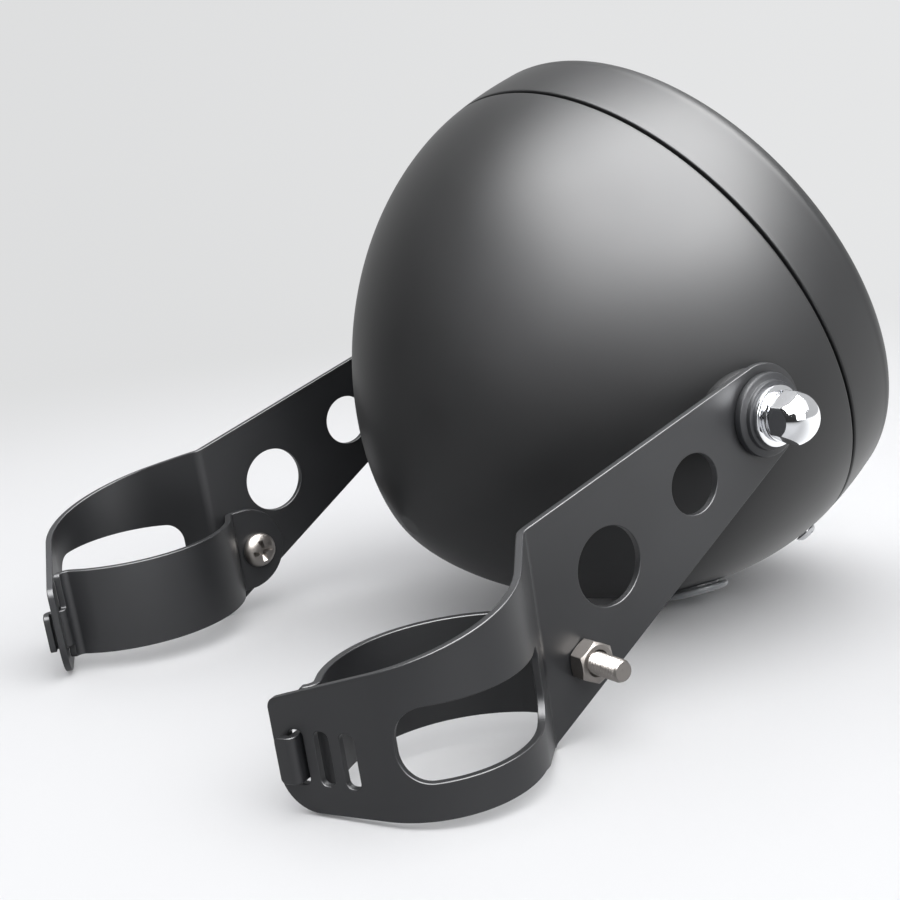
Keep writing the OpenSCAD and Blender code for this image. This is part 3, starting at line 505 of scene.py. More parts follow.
def build_lens():
    """Domed glass with moulded flutes on its inner side."""
    ball = (LENS_OPEN_R ** 2 + LENS_BULGE ** 2) / (2 * LENS_BULGE)
    centre = LIP_Z + LENS_BULGE - ball
    reach = LENS_OPEN_R - 0.4
    outer = [(ball * math.sin(a), centre + ball * math.cos(a))
             for a in [math.asin(reach / ball) * i / 28 for i in range(29)]]
    segs = 240
    profile = [(LENS_R, LENS_BACK_Z), (LENS_R, LIP_Z - 0.1), (reach, LIP_Z - 0.1)] + outer[-2::-1]
    body_verts, body_faces = revolve(profile, segs, closed=False)
    inner_ball = ball - LENS_WALL
    rows = 44
    inner_reach = LENS_OPEN_R - 4
    ring_start = len(body_verts)
    for k in range(rows + 1):
        r = inner_reach * (1 - k / rows)
        level = centre + math.sqrt(inner_ball ** 2 - r * r)
        fluted = FLUTE_DEPTH * max(0.0, 1 - (r / (inner_reach - 1)) ** 12)
        body_verts += [(x, y, z - fluted * abs(math.sin(math.pi * x / FLUTE_PITCH)))
                       for x, y, z in ring_of(r, level, segs)]
    for k in range(rows):
        for i in range(segs):
            j = (i + 1) % segs
            a, b = ring_start + k * segs, ring_start + (k + 1) * segs
            body_faces.append((a + j, a + i, b + i, b + j))
    flange = len(body_verts)
    body_verts += ring_of(inner_reach, LENS_BACK_Z, segs)
    for i in range(segs):
        j = (i + 1) % segs
        body_faces.append((flange + i, flange + j, ring_start + j, ring_start + i)[::-1])
        body_faces.append((i, j, flange + j, flange + i)[::-1])
    me = mesh_of("lens", body_verts, body_faces, LAMP, 30)
    add_piece("lens", me, lens_clear, "lamp", ["lens_glass"])


def build_optics():
    """Reflector bowl with its collar, and the bulb's glass."""
    mouth, neck, face_z, depth = 76.0, 20.0, 20.0, 60.0
    focus = (mouth ** 2 - neck ** 2) / (4 * depth)
    neck_z = face_z - depth
    bowl = [(r, neck_z + (r ** 2 - neck ** 2) / (4 * focus))
            for r in [neck + (mouth - neck) * i / 48 for i in range(49)]]
    back = [(r + 1.0, z - 0.5) for r, z in reversed(bowl[1:-1])]
    collar_z = neck_z - 7
    outline = [(neck, collar_z), (neck + 1.2, collar_z), (neck + 1.2, neck_z - 1)] + back[::-1]
    outline += [(mouth + 1, face_z - 1.2), (LENS_R, face_z - 1.2), (LENS_R, face_z)] + bowl[::-1]
    me = mesh_of("bowl", *revolve(outline, 192), LAMP, 40)
    add_piece("reflector_bowl", me, mirror, "lamp", ["reflector"])
    tube = [(0, collar_z + 0.1), (7.6, collar_z + 0.1), (8, collar_z + 1)]
    tube += arc(0, collar_z + 38, 8, 0, 90, 12)[:-1] + [(0, collar_z + 46)]
    me = mesh_of("envelope", *revolve(tube, 64, closed=False), LAMP, 40)
    add_piece("bulb_envelope", me, bulb_clear, "lamp", ["bulb_glass"])


build_rim()
build_lens()
build_optics()


# grommet and rim screws

def build_grommet():
    inner, hole, lip_r = 5.0, 7.15, 10.0
    profile = [
        (inner, -3.8), (inner + 0.5, -4.5), (8.6, -4.6), (9.6, -4.1), (9.8, -3.4), (9.3, -2.7), (hole, -2.5),
        (hole, 0.3), (9.4, 0.35), (9.9, 0.75), (lip_r, 1.25), (9.7, 1.85), (9.0, 2.3), (7.6, 2.52),
        (6.2, 2.45), (5.4, 2.1), (inner, 1.4),
    ]
    me = mesh_of("grommet", *revolve(profile, 96), LAMP @ shell_spot(GROMMET_ANGLE, GROMMET_BACK), 60)
    add_piece("grommet", me, reflection_grey_vinyl, "lamp", ["wire_grommet"])


def build_rim_screw(side):
    angle = RIM_SCREW_ANGLE if side == "right" else -RIM_SCREW_ANGLE
    place = (LAMP @ Matrix.Rotation(math.radians(90 - angle), 4, "Z")
             @ Matrix.Translation((0, 0, -RIM_SCREW_BACK)) @ PIVOT)
    head = [(0, 87.6), (0.45, 87.6), (0.5, 88.6), (2.0, 88.6), (2.5, 88.45), (3.1, 88.0), (3.5, 87.35),
            (3.6, 87.05), (2.0, 87.05), (2.0, 80.2), (0, 80.2)]
    me = mesh_of("screw", *revolve(head[::-1], 48, closed=False), place, 40)
    ob = linked("rim_screw", me)
    cut_block(ob, [(88.1, 4, 0.45), (90, 4, 0.45)], place)
    me = taken(ob)
    smooth(me, 35)
    add_piece(side + "_rim_screw_head", me, dark_steel, "lamp", [side + "_rim_screw"])


build_grommet()
for side in SIDES:
    build_rim_screw(side)


# pivot hardware

def rounded_hex(af, soft=0.35, flat_steps=8):
    """Outline of a hexagon with softened corners and divided flats."""
    corner = af / 2 / math.cos(math.radians(30))
    pts = [(corner * math.cos(a), corner * math.sin(a))
           for a in [math.radians(30 + 60 * k) for k in range(6)]]
    out = []
    soft_pts = rounded(pts, soft, 4)
    for i, p in enumerate(soft_pts):
        out.append(p)
        if i % 5 == 4:
            q = soft_pts[(i + 1) % len(soft_pts)]
            for k in range(1, flat_steps):
                out.append((p[0] + (q[0] - p[0]) * k / flat_steps, p[1] + (q[1] - p[1]) * k / flat_steps))
    return out


def hex_rings(af, z0, z1, chamfer_top=True):
    """Rings of a hexagonal body from z0 to z1, with its ends turned to a cone."""
    outline = rounded_hex(af)
    face_r = af / 2 * 0.95
    tan = math.tan(math.radians(30))

    def ring(z, r=None):
        if r is None:
            return [(x, y, z) for x, y in outline]
        return [(x / math.hypot(x, y) * r, y / math.hypot(x, y) * r, z) for x, y in outline]

    def edge(z, sign):
        return [(x, y, z - sign * max(0.0, math.hypot(x, y) - face_r) * tan) for x, y in outline]

    rings = [ring(z0, face_r), edge(z0, -1)]
    rings += [edge(z1, 1), ring(z1, face_r)] if chamfer_top else [ring(z1)]
    return rings, ring


def skin_rings(rings, cap0=None, cap1=None):
    """Quads between rings of equal size, and a point at either end where given."""
    n = len(rings[0])
    verts = [v for ring in rings for v in ring]
    faces = []
    for k in range(len(rings) - 1):
        for i in range(n):
            j = (i + 1) % n
            faces.append((k * n + i, k * n + j, (k + 1) * n + j, (k + 1) * n + i))
    if cap0 is not None:
        verts.append((0, 0, cap0))
        faces += [(len(verts) - 1, (i + 1) % n, i) for i in range(n)]
    if cap1 is not None:
        verts.append((0, 0, cap1))
        base = (len(rings) - 1) * n
        faces += [(len(verts) - 1, base + i, base + (i + 1) % n) for i in range(n)]
    return verts, faces


def thread(r, z0, z1, pitch, depth, tip, segs=64):
    """A screw thread along Z from z0 to z1, with a coned tip and a flat end."""
    rows = int((z1 - z0) / pitch * 8)
    rings = []
    for k in range(rows + 1):
        z = z0 + (z1 - z0) * k / rows
        ring = []
        for i in range(segs):
            turn = ((z / pitch) - i / segs) % 1.0
            groove = min(1.0, max(0.0, abs(turn - 0.5) * 2 * 1.25 - 0.12))
            radius = r - depth * (1 - groove)
            radius = min(radius, r - depth * 1.15 + max(0.0, z1 - z) * (depth * 1.15 / tip))
            ring.append((radius * math.cos(math.tau * i / segs), radius * math.sin(math.tau * i / segs), z))
        rings.append(ring)
    return skin_rings(rings, cap1=z1)


def build_acorn(side, place):
    """One-piece dome nut: a ball turned onto a hexagon bar, so each flat ends in an arc."""
    x0, height, af, corner_h = 94.62, 9.98, 13.0, 4.2
    ball = af / 2 / math.cos(math.radians(30)) * 1.04
    dome_h = (height - corner_h) / (1 - math.sqrt(1 - (1 / 1.04) ** 2))
    foot = x0 + height - dome_h
    outline = rounded_hex(af, 0.5)
    reach = [math.hypot(x, y) for x, y in outline]
    first = [math.acos(min(1.0, r / ball)) for r in reach]

    def ring(z, r):
        return [(x / d * r, y / d * r, z) for (x, y), d in zip(outline, reach)]

    def ball_ring(k):
        out = []
        for (x, y), d, start in zip(outline, reach, first):
            phi = start + (math.pi / 2 - start) * k
            out.append((x / d * ball * math.cos(phi), y / d * ball * math.cos(phi),
                        foot + dome_h * math.sin(phi)))
        return out

    edge = [(x, y, x0 + max(0.0, d - af / 2 * 0.96) * 0.6) for (x, y), d in zip(outline, reach)]
    rings = [ring(x0 + 7, 4.1), ring(x0, 4.1), ring(x0, af / 2 * 0.96), edge]
    rings += [ball_ring(k / 22) for k in range(22)]
    rings.append(ring(x0 + height - 0.002, 0.12))
    part = skin_rings(rings, cap0=x0 + 7, cap1=x0 + height)
    me = mesh_of("acorn", *part, place, 25)
    n = len(outline)
    crease = range(4 * n, 5 * n)
    for line in me.edges:
        if line.vertices[0] in crease and line.vertices[1] in crease:
            line.use_edge_sharp = True
    add_piece(side + "_dome_nut", me, chrome, "lamp", [side + "_acorn_nut"])


def build_bushes(side, place):
    """The stepped outer bush, the inner bush with its neck, and the flat washer."""
    bush = [(4.1, 87.32), (11.3, 87.32), (11.62, 87.5), (11.7, 87.9), (11.7, 88.9), (11.55, 89.35),
            (11.1, 89.62), (9.9, 89.7), (9.72, 89.85), (9.7, 90.4), (9.5, 90.9), (9.1, 91.06), (4.1, 91.06)]
    me = mesh_of("bush", *revolve(bush, 128), place, 40)
    add_piece(side + "_rubber_bush", me, black_rubber, "lamp", [side + "_outer_bush"])
    flange = [(4.1, 82.72), (11.5, 82.72), (11.8, 83.0), (11.8, 84.8), (11.5, 85.08), (7.94, 85.1),
              (7.94, 87.15), (4.1, 87.15)]
    me = mesh_of("flange", *revolve(flange, 96), place, 40)
    add_piece(side + "_bush_flange", me, black_rubber, "lamp", [side + "_inner_bush"])
    plate = [(4.15, 91.12), (8.15, 91.12), (8.4, 91.2), (8.5, 91.45), (8.5, 92.2), (8.4, 92.45),
             (8.15, 92.57), (4.15, 92.57)]
    me = mesh_of("washer", *revolve(plate, 128), place, 30)
    add_piece(side + "_washer", me, chrome, "lamp", [side + "_flat_washer"])


def build_split_washer(side, place):
    """One turn with a slanting cut and a slight spring."""
    segs, verts, faces = 96, [], []
    section = rounded([(4.3, -0.85), (7.0, -0.85), (7.0, 0.85), (4.3, 0.85)], 0.22, 2)
    m = len(section)
    for i in range(segs + 1):
        for r, z in section:
            a = math.radians(94 + 352 * i / segs + z * 5)
            glare_side = 0.1 * (i / segs - 0.5)
            verts.append((r * math.cos(a), r * math.sin(a), 93.61 + z + glare_side))
    for i in range(segs):
        for k in range(m):
            n = (k + 1) % m
            faces.append((i * m + k, (i + 1) * m + k, (i + 1) * m + n, i * m + n))
    faces += [tuple(range(m)), tuple(segs * m + k for k in reversed(range(m)))]
    me = mesh_of("split", verts, faces, place, 35)
    face_outwards(me)
    add_piece(side + "_split_washer", me, chrome, "lamp", [side + "_spring_washer"])


def build_bolt(side, place):
    """Hexagon head inside the shell and a threaded shank."""
    head_rings, ring = hex_rings(13.0, 65.75, 71.0, chamfer_top=False)
    head = skin_rings([*head_rings, ring(71.0, 4.0)], cap0=65.75)
    shank = thread(4.0, 70.5, 101.1, 1.25, 0.5, 0.8, 48)
    me = mesh_of("bolt", *joined([head, shank]), place, 30)
    add_piece(side + "_bolt", me, steel, "lamp", [side + "_pivot_bolt"])


for side in SIDES:
    place = on_side(side, PIVOT)
    build_bushes(side, place)
    build_split_washer(side, place)
    build_bolt(side, place)
    build_acorn(side, place)


# bent sheet

class BentLine:
    """The middle line of a bent sheet in plan, as close points with running lengths."""

    def __init__(self, points):
        self.p = np.array(points, float)
        step = np.diff(self.p, axis=0)
        length = np.hypot(step[:, 0], step[:, 1])
        keep = np.r_[True, length > 1e-7]
        self.p = self.p[keep]
        step = np.diff(self.p, axis=0)
        length = np.hypot(step[:, 0], step[:, 1])
        self.s = np.r_[0.0, np.cumsum(length)] + self.p[0, 0]
        way = step / length[:, None]
        mid = np.vstack([way[:1], way[:-1] + way[1:], way[-1:]])
        self.t = mid / np.hypot(mid[:, 0], mid[:, 1])[:, None]

    def at(self, s):
        """Point and unit tangent at a running length."""
        pu = np.interp(s, self.s, self.p[:, 0])
        pw = np.interp(s, self.s, self.p[:, 1])
        tu = np.interp(s, self.s, self.t[:, 0])
        tw = np.interp(s, self.s, self.t[:, 1])
        size = np.hypot(tu, tw)
        return pu, pw, tu / size, tw / size

    def s_at(self, u):
        """Running length at which the line first reaches a distance to the rear."""
        k = int(np.argmax(self.p[:, 0] >= u))
        a, b = self.p[k - 1, 0], self.p[k, 0]
        return float(self.s[k - 1] + (self.s[k] - self.s[k - 1]) * (u - a) / (b - a))


def corner_arc(a, b, c, r, max_turn=4.0):
    """The rounded corner at b between a and c."""
    a, b, c = Vector(a), Vector(b), Vector(c)
    d0, d1 = (b - a).normalized(), (c - b).normalized()
    turn = math.atan2(d0.x * d1.y - d0.y * d1.x, d0.dot(d1))
    cut = r * math.tan(abs(turn) / 2)
    side = 1 if turn > 0 else -1
    left = Vector((-d0.y, d0.x))
    centre = b - d0 * cut + left * r * side
    steps = max(2, int(abs(math.degrees(turn)) / max_turn))
    out = []
    for i in range(steps + 1):
        phi = turn * i / steps
        p = centre - side * r * (left * math.cos(phi) - d0 * math.sin(phi))
        out.append((p.x, p.y))
    return out


def band_path():
    """Flat plate, bend, lead, bow around the fork tube, straight tail."""
    bend, middle = math.radians(BAND_ANGLE), -PLATE_T / 2
    lead = BAND_BEND_R * math.tan(bend / 2) + BAND_LEAD
    start = Vector((math.cos(bend), math.sin(bend))) * lead + Vector((0, middle))
    centre = start - Vector((-math.sin(bend), math.cos(bend))) * BAND_R
    tail_out = Vector((math.cos(math.radians(TAIL_ANGLE)), math.sin(math.radians(TAIL_ANGLE))))
    tail_dir = Vector((tail_out.y, -tail_out.x))
    tail_start = centre + tail_out * BAND_R
    points = [(-BEND_BACK - PLATE_END_R - 2, middle)]
    points += corner_arc((-100, middle), (0, middle), tuple(start), BAND_BEND_R)
    points += arc(centre.x, centre.y, BAND_R, 90 + BAND_ANGLE, TAIL_ANGLE, 56)
    tip = tail_start + tail_dir * TAIL_LEN
    points.append(tuple(tip))
    return points, tail_start, tail_dir, tail_out


band_points, tail_start, tail_dir, tail_out = band_path()
band_line = BentLine(band_points)
BAND_END = float(band_line.s[-1])


def tail_point(along, out):
    p = tail_start + tail_dir * along + tail_out * out
    return (p.x, p.y)


def strap_path():
    """Ear under the screw, bow around the fork tube, reach to the tail, hook through a slot."""
    flat = -PLATE_T - GAP - STRAP_T / 2
    ear_bend = Vector((CLAMP_U + CLAMP_HEAD_R + EAR_BEND_R, flat))
    hook_in = -PLATE_T / 2 - GAP - STRAP_T / 2
    hook_out = PLATE_T / 2 + 1 + STRAP_T / 2
    turn_in = math.radians(REACH_ANGLE + 90 - TAIL_ANGLE)
    lead = REACH_BEND_R * math.tan(turn_in / 2) + STRAP_T / 2 + 0.2
    corner_at = Vector(tail_point(HOOK_AT - lead, hook_in))
    reach = Vector((math.cos(math.radians(REACH_ANGLE)), math.sin(math.radians(REACH_ANGLE))))
    reach_from = corner_at - reach * REACH_LEN
    chord = reach_from - ear_bend
    half = chord.length / 2
    way = chord.normalized()
    rise = math.sqrt(STRAP_R ** 2 - half ** 2)
    centre = (ear_bend + reach_from) / 2 + Vector((-way.y, way.x)) * rise
    a0 = math.degrees(math.atan2(ear_bend.y - centre.y, ear_bend.x - centre.x))
    a1 = math.degrees(math.atan2(reach_from.y - centre.y, reach_from.x - centre.x))
    bow = arc(centre.x, centre.y, STRAP_R, a0, a1, 56)
    foot = tail_point(HOOK_AT, hook_in)
    turn = tail_point(HOOK_AT, hook_out)
    points = [(CLAMP_U + EAR_SHIFT - STRAP_W / 2 - 1, flat)]
    points += corner_arc((CLAMP_U, flat), tuple(ear_bend), bow[6], EAR_BEND_R)
    points += bow[7:]
    points += corner_arc(tuple(reach_from), tuple(corner_at), foot, REACH_BEND_R)
    points += corner_arc(tuple(corner_at), foot, turn, STRAP_T / 2 + 0.05, 9)
    points += corner_arc(foot, turn, tail_point(TAIL_LEN, hook_out), STRAP_T / 2 + 0.2, 9)
    points.append(tail_point(TAIL_LEN - HOOK_STOP, hook_out))
    return points


strap_line = BentLine(strap_path())
STRAP_END = float(strap_line.s[-1])


def resampled(loop, line, gap):
    """Adds points where a loop crosses the bent line's stations and wherever it is too coarse."""
    out = []
    n = len(loop)
    for i in range(n):
        (s0, z0), (s1, z1) = loop[i], loop[(i + 1) % n]
        cuts = {0.0}
        length = math.hypot(s1 - s0, z1 - z0)
        pieces = max(1, int(math.ceil(length / gap)))
        cuts |= {k / pieces for k in range(pieces)}
        if abs(s1 - s0) > 1e-6:
            for s in line.s:
                k = (s - s0) / (s1 - s0)
                if 0.02 < k < 0.98:
                    cuts.add(float(k))
        last = -1.0
        for k in sorted(cuts):
            if (k - last) * length > 0.08 or k == 0.0:
                out.append((s0 + (s1 - s0) * k, z0 + (z1 - z0) * k))
                last = k
    return out


def inside(points, loops):
    """Even-odd test of many points against all loops."""
    hit = np.zeros(len(points), bool)
    x, y = points[:, 0], points[:, 1]
    for loop in loops:
        q = np.array(loop)
        for (x0, y0), (x1, y1) in zip(q, np.roll(q, -1, axis=0)):
            if y0 == y1:
                continue
            crosses = ((y0 > y) != (y1 > y)) & (x < (x1 - x0) * (y - y0) / (y1 - y0) + x0)
            hit ^= crosses
    return hit


def mitred_left(loop):
    """For each point, the way to its left that keeps both neighbouring edges parallel."""
    q = np.array(loop)
    ahead = np.roll(q, -1, axis=0) - q
    ahead /= np.hypot(ahead[:, 0], ahead[:, 1])[:, None]
    behind = np.roll(ahead, 1, axis=0)
    left = np.stack([-(ahead[:, 1] + behind[:, 1]), ahead[:, 0] + behind[:, 0]], 1)
    return left / (1 + (ahead * behind).sum(1))[:, None]


def face_grid(loops, line, row=2.4, flat_gap=6.0):
    """Points inside the loops, on the line's stations and on rows of one distance."""
    all_pts = np.array([p for q in loops for p in q])
    s_lo, s_hi = all_pts[:, 0].min(), all_pts[:, 0].max()
    z_lo, z_hi = all_pts[:, 1].min(), all_pts[:, 1].max()
    stations = [s for s in line.s if s_lo < s < s_hi]
    filled = []
    for a, b in zip([s_lo] + stations, stations + [s_hi]):
        filled.append(a)
        extra = int((b - a) / flat_gap)
        filled += [a + (b - a) * k / (extra + 1) for k in range(1, extra + 1)]
    grid = np.array([(s, z) for s in filled for z in np.arange(z_lo + row / 2, z_hi, row)])
    grid = grid[inside(grid, loops)]
    near = np.array([np.min(np.hypot(all_pts[:, 0] - s, all_pts[:, 1] - z)) for s, z in grid])
    return grid[near > 0.75]


def sheet_mesh(name, line, loops, thick, place):
    """A bent sheet: loops are drawn on the unrolled sheet with the metal on their left."""
    loops = [resampled(loop, line, 0.9) for loop in loops]
    half, steps = thick / 2, 3
    # from the front face's edge (phi 90) over the rim and down to the back face's edge
    walk = [(EDGE_ROUND * (1 - math.cos(p)), half - EDGE_ROUND * (1 - math.sin(p)), math.sin(p), math.cos(p))
            for p in [math.pi / 2 * (1 - k / steps) for k in range(steps + 1)]]
    walk += [(i, -h, -sn, cs) for i, h, sn, cs in reversed(walk)]
    flat, height, n_face, n_edge, start = [], [], [], [], []
    for q in loops:
        left = mitred_left(q)
        unit_left = left / np.hypot(left[:, 0], left[:, 1])[:, None]
        start.append(len(flat))
        for inset, h, sn, cs in walk:
            for p, l, ul in zip(q, left, unit_left):
                flat.append((p[0] + l[0] * inset, p[1] + l[1] * inset))
                height.append(h)
                n_face.append(sn)
                n_edge.append((-ul[0] * cs, -ul[1] * cs))
    faces = []
    for base, q in zip(start, loops):
        n = len(q)
        for k in range(len(walk) - 1):
            for i in range(n):
                j = (i + 1) % n
                a, b = base + k * n, base + (k + 1) * n
                faces.append((a + i, a + j, b + j, b + i))
    # front face: triangulate the innermost loops with the grid points
    ring_pts, edges = [], []
    for base, q in zip(start, loops):
        n = len(q)
        first = len(ring_pts)
        ring_pts += [(flat[base + i], base + i) for i in range(n)]
        edges += [(first + i, first + (i + 1) % n) for i in range(n)]
    coords = [Vector(p) for p, _ in ring_pts] + [Vector(g) for g in face_grid(loops, line)]
    out_v, _, out_f, orig_v, _, _ = delaunay_2d_cdt(coords, edges, [], 0, 1e-7)
    centres = np.array([[sum(out_v[i].x for i in f) / 3, sum(out_v[i].y for i in f) / 3] for f in out_f])
    ring_loops, k = [], 0
    for q in loops:
        ring_loops.append([ring_pts[k + i][0] for i in range(len(q))])
        k += len(q)
    keep = inside(centres, ring_loops)
    front_id, back_id = {}, {}
    ring_count = len(ring_pts)
    for i, source in enumerate(orig_v):
        src = source[0] if source else -1
        if 0 <= src < ring_count:
            vid = ring_pts[src][1]
            for base, q in zip(start, loops):
                if base <= vid < base + len(q):
                    front_id[i] = vid
                    back_id[i] = vid + (len(walk) - 1) * len(q)
        else:
            for sign, table in ((1, front_id), (-1, back_id)):
                table[i] = len(flat)
                flat.append((out_v[i].x, out_v[i].y))
                height.append(sign * half)
                n_face.append(float(sign))
                n_edge.append((0.0, 0.0))
    for f, ok in zip(out_f, keep):
        if not ok:
            continue
        faces.append(tuple(reversed([front_id[i] for i in f])))
        faces.append(tuple(back_id[i] for i in f))
    flat = np.array(flat)
    height, n_face, n_edge = np.array(height), np.array(n_face), np.array(n_edge)
    pu, pw, tu, tw = line.at(flat[:, 0])
    nu, nw = -tw, tu
    u, w, z = pu + nu * height, pw + nw * height, flat[:, 1]
    vu = nu * n_face + tu * n_edge[:, 0]
    vw = nw * n_face + tw * n_edge[:, 0]
    verts = np.stack([PLATE_X + w, -BEND_BACK - u, z], 1)
    normals = np.stack([vw, -vu, n_edge[:, 1]], 1)
    return mesh_of(name, verts.tolist(), faces, place, normals=normals.tolist())


def circle(s, z, r, steps):
    """A hole: runs clockwise, so the metal is on its left."""
    return arc(s, z, r, 0, -360, steps)[:-1]


def upper_edge(s):
    """Height of the band's upper edge, which falls with the length of the sheet."""
    return -BEND_TOP - EDGE_FALL * (s / EDGE_RUN) ** EDGE_POWER


def bracket_loops():
    pivot = (-BEND_BACK, 0.0)
    k1, k2 = Vector((BEND_BACK, -BEND_TOP)), Vector((BEND_BACK, -BEND_FOOT))
    a1 = math.degrees(math.atan2(k1.y, k1.x) + math.acos(PLATE_END_R / k1.length))
    a2 = math.degrees(math.atan2(k2.y, k2.x) - math.acos(PLATE_END_R / k2.length))
    # round end, from the upper tangent point forward and down to the lower one
    outline = arc(*pivot, PLATE_END_R, a1, a2 + 360, 59)
    run = band_line.s_at(FOOT_RUN)
    outline.append((0.0, -BEND_FOOT))
    for s in np.linspace(1.5, run, 10):
        u = float(band_line.at(s)[0])
        outline.append((float(s), -BEND_FOOT + FOOT_RISE * u / FOOT_RUN))
    tail = [(run + 3, BAND_FOOT), (BAND_END, BAND_FOOT), (BAND_END, upper_edge(BAND_END)),
            (BAND_END - 8, upper_edge(BAND_END - 8))]
    outline += rounded(tail, [0, 10, 3, 0], 12)
    outline += [(float(s), upper_edge(float(s))) for s in np.linspace(BAND_END - 10, 0, 60)]
    holes = [
        circle(*pivot, PIVOT_HOLE_R, 72),
        circle(SMALL_HOLE[0] - BEND_BACK, *SMALL_HOLE[1:], 72),
        circle(LARGE_HOLE[0] - BEND_BACK, *LARGE_HOLE[1:], 84),
        circle(CLAMP_U, CLAMP_Z, CLAMP_HOLE_R, 40),
    ]
    z1 = -BEND_TOP - WINDOW_DROP
    z0 = z1 - WINDOW_H
    w0 = band_line.s_at(WINDOW_FROM)
    box = [(w0, z1), (WINDOW_TO, z1), (WINDOW_TO, z0), (w0, z0)]
    holes.append(rounded(box, [5.6, 8, 8, 5.6], 12))
    top, foot = CLAMP_Z + SLOT_H / 2, CLAMP_Z - SLOT_H / 2
    for k in range(3):
        s0 = BAND_END - SLOT_END - SLOT_PITCH * k - SLOT_W / 2
        s1 = s0 + SLOT_W
        holes.append(rounded([(s0, top), (s1, top), (s1, foot), (s0, foot)], 1.6, 6))
    return [outline] + holes


def strap_loops():
    """The strap's blank: a round ear, a wide band, and a narrow tongue past the slot."""
    centre = CLAMP_U + EAR_SHIFT
    r = STRAP_W / 2
    top, foot = STRAP_MIDDLE + r, STRAP_MIDDLE - r
    cut = STRAP_END - TONGUE_LEN
    t0, t1 = CLAMP_Z + TONGUE_W / 2, CLAMP_Z - TONGUE_W / 2

    def tilted(p):
        rise = (float(strap_line.at(p[0])[0]) - centre) * math.tan(math.radians(STRAP_TILT))
        return (p[0], p[1] + (rise if p[0] > centre and not t1 - 1 < p[1] < t0 + 1 else 0.0))

    outline = arc(centre, STRAP_MIDDLE, r, 90, 270, 49)
    edge = np.linspace(centre + 1, cut - 3, 50)
    outline += [(float(s), foot) for s in edge[:-1]]
    hook = [(cut - 3, foot), (cut, foot), (cut, t1), (STRAP_END, t1), (STRAP_END, t0), (cut, t0),
            (cut, top), (cut - 3, top)]
    outline += rounded(hook, [0, 1.2, 0.6, 1.4, 1.4, 0.6, 1.2, 0], 6)
    outline += [(float(s), top) for s in edge[-2::-1]]
    return [[tilted(p) for p in outline], circle(CLAMP_U, CLAMP_Z, CLAMP_HOLE_R, 40)]


bracket_blank = bracket_loops()
strap_blank = strap_loops()
for side in SIDES:
    place = on_side(side, BRACKET)
    body = side + "_side_bracket"
    me = sheet_mesh("bracket", band_line, bracket_blank, PLATE_T, place)
    add_piece(side + "_bracket_sheet", me, bracket_paint, body, [side + "_bracket"])
    me = sheet_mesh("strap", strap_line, strap_blank, STRAP_T, place)
    add_piece(side + "_strap_sheet", me, bracket_paint, body, [side + "_hook_strap"])


# clamp screw and nut

def build_clamp_screw(side, place, body):
    """Pan head with a cross recess, and a threaded shank."""
    seat = PLATE_X - PLATE_T - GAP - STRAP_T - 0.02
    end = PLATE_X + 0.3 + 5 + 9.3
    dome = [(CLAMP_HEAD_R * (0.35 + 0.65 * math.cos(a)), seat - 0.9 - 2.7 * math.sin(a))
            for a in [math.radians(90 * i / 14) for i in range(15)]]
    head = [(0, seat - 3.6)] + dome[::-1]
    head += [(5.62, seat - 0.3), (5.45, seat - 0.05), (5.2, seat), (2.9, seat), (2.9, seat + 1)]
    part = revolve(head, 72, closed=False)
    me = mesh_of("pan", *part, place, 40)
    ob = linked("pan", me)
    face_outwards(me, fill=True)
    for turn in (0, 90):
        spin = Matrix.Rotation(math.radians(turn + SCREW_TURN), 4, "Z")
        cut_block(ob, [(seat - 4.6, 5.0, 1.05), (seat - 1.6, 1.9, 0.55)], place @ spin)
    me = taken(ob)
    smooth(me, 32)
    bm = bmesh.new()
    bm.from_mesh(me)
    shank = mesh_of("shank", *thread(3.0, seat + 0.5, end, 1.0, 0.42, 0.9), place, 50)
    bm.from_mesh(shank)
    bm.to_mesh(me)
    bm.free()
    add_piece(side + "_pan_screw", me, steel, body, [side + "_clamp_screw"])


def build_clamp_nut(side, place, body):
    foot, top = PLATE_X + 0.06, PLATE_X + 5.05
    rings, ring = hex_rings(10.0, foot, top)
    bore = [ring(top, 3.6), ring(PLATE_X + 4.5, 3.06), ring(PLATE_X + 0.6, 3.06), ring(foot, 3.5)]
    me = mesh_of("nut", *skin_rings(rings + bore + rings[:1]), place, 28)
    add_piece(side + "_hex_nut", me, steel, body, [side + "_clamp_nut"])


for side in SIDES:
    place = on_side(side, CLAMP)
    build_clamp_screw(side, place, side + "_side_bracket")
    build_clamp_nut(side, place, side + "_side_bracket")


# CAD solids that keep their shape

kept = {
    "lens_gasket": black_rubber, "retaining_ring": steel, "ring_screws": steel, "bulb_base": steel,
    "bulb_clip": steel, "bulb_plug": black_rubber, "dust_boot": black_rubber,
}
for name, material in kept.items():
    nodes[name].data.materials.clear()
    nodes[name].data.materials.append(material)


# studio

PALE = (0.765, 0.77, 0.775)
FLOOR_LOW, FLOOR_HIGH = (0.80, 0.803, 0.81), (0.82, 0.823, 0.83)
FLOOR_FADE = (0.17, 0.75)
# strengths: reflections on the dim side, diffuse fill, and extra floor glow that only reflections see, a
# painted reflection of lit floor
GLOSS_DARK, FILL, FLOOR_GLARE = 0.05, 0.87, 1.2
DIM_SIDE = Vector((0.25, -0.96, 0.05)).normalized()
ACROSS = Vector((0.58, 0.81, 0.0)).normalized()


def seen_rays(tree):
    """1 for reflection rays, and 1 for rays that look directly, in a gloss, or through glass."""
    path = tree.nodes.new("ShaderNodeLightPath")
    outs = path.outputs
    first = worked_out(tree, "MAXIMUM", outs["Is Camera Ray"], outs["Is Glossy Ray"])
    return outs["Is Glossy Ray"], worked_out(tree, "MAXIMUM", first, outs["Is Transmission Ray"])


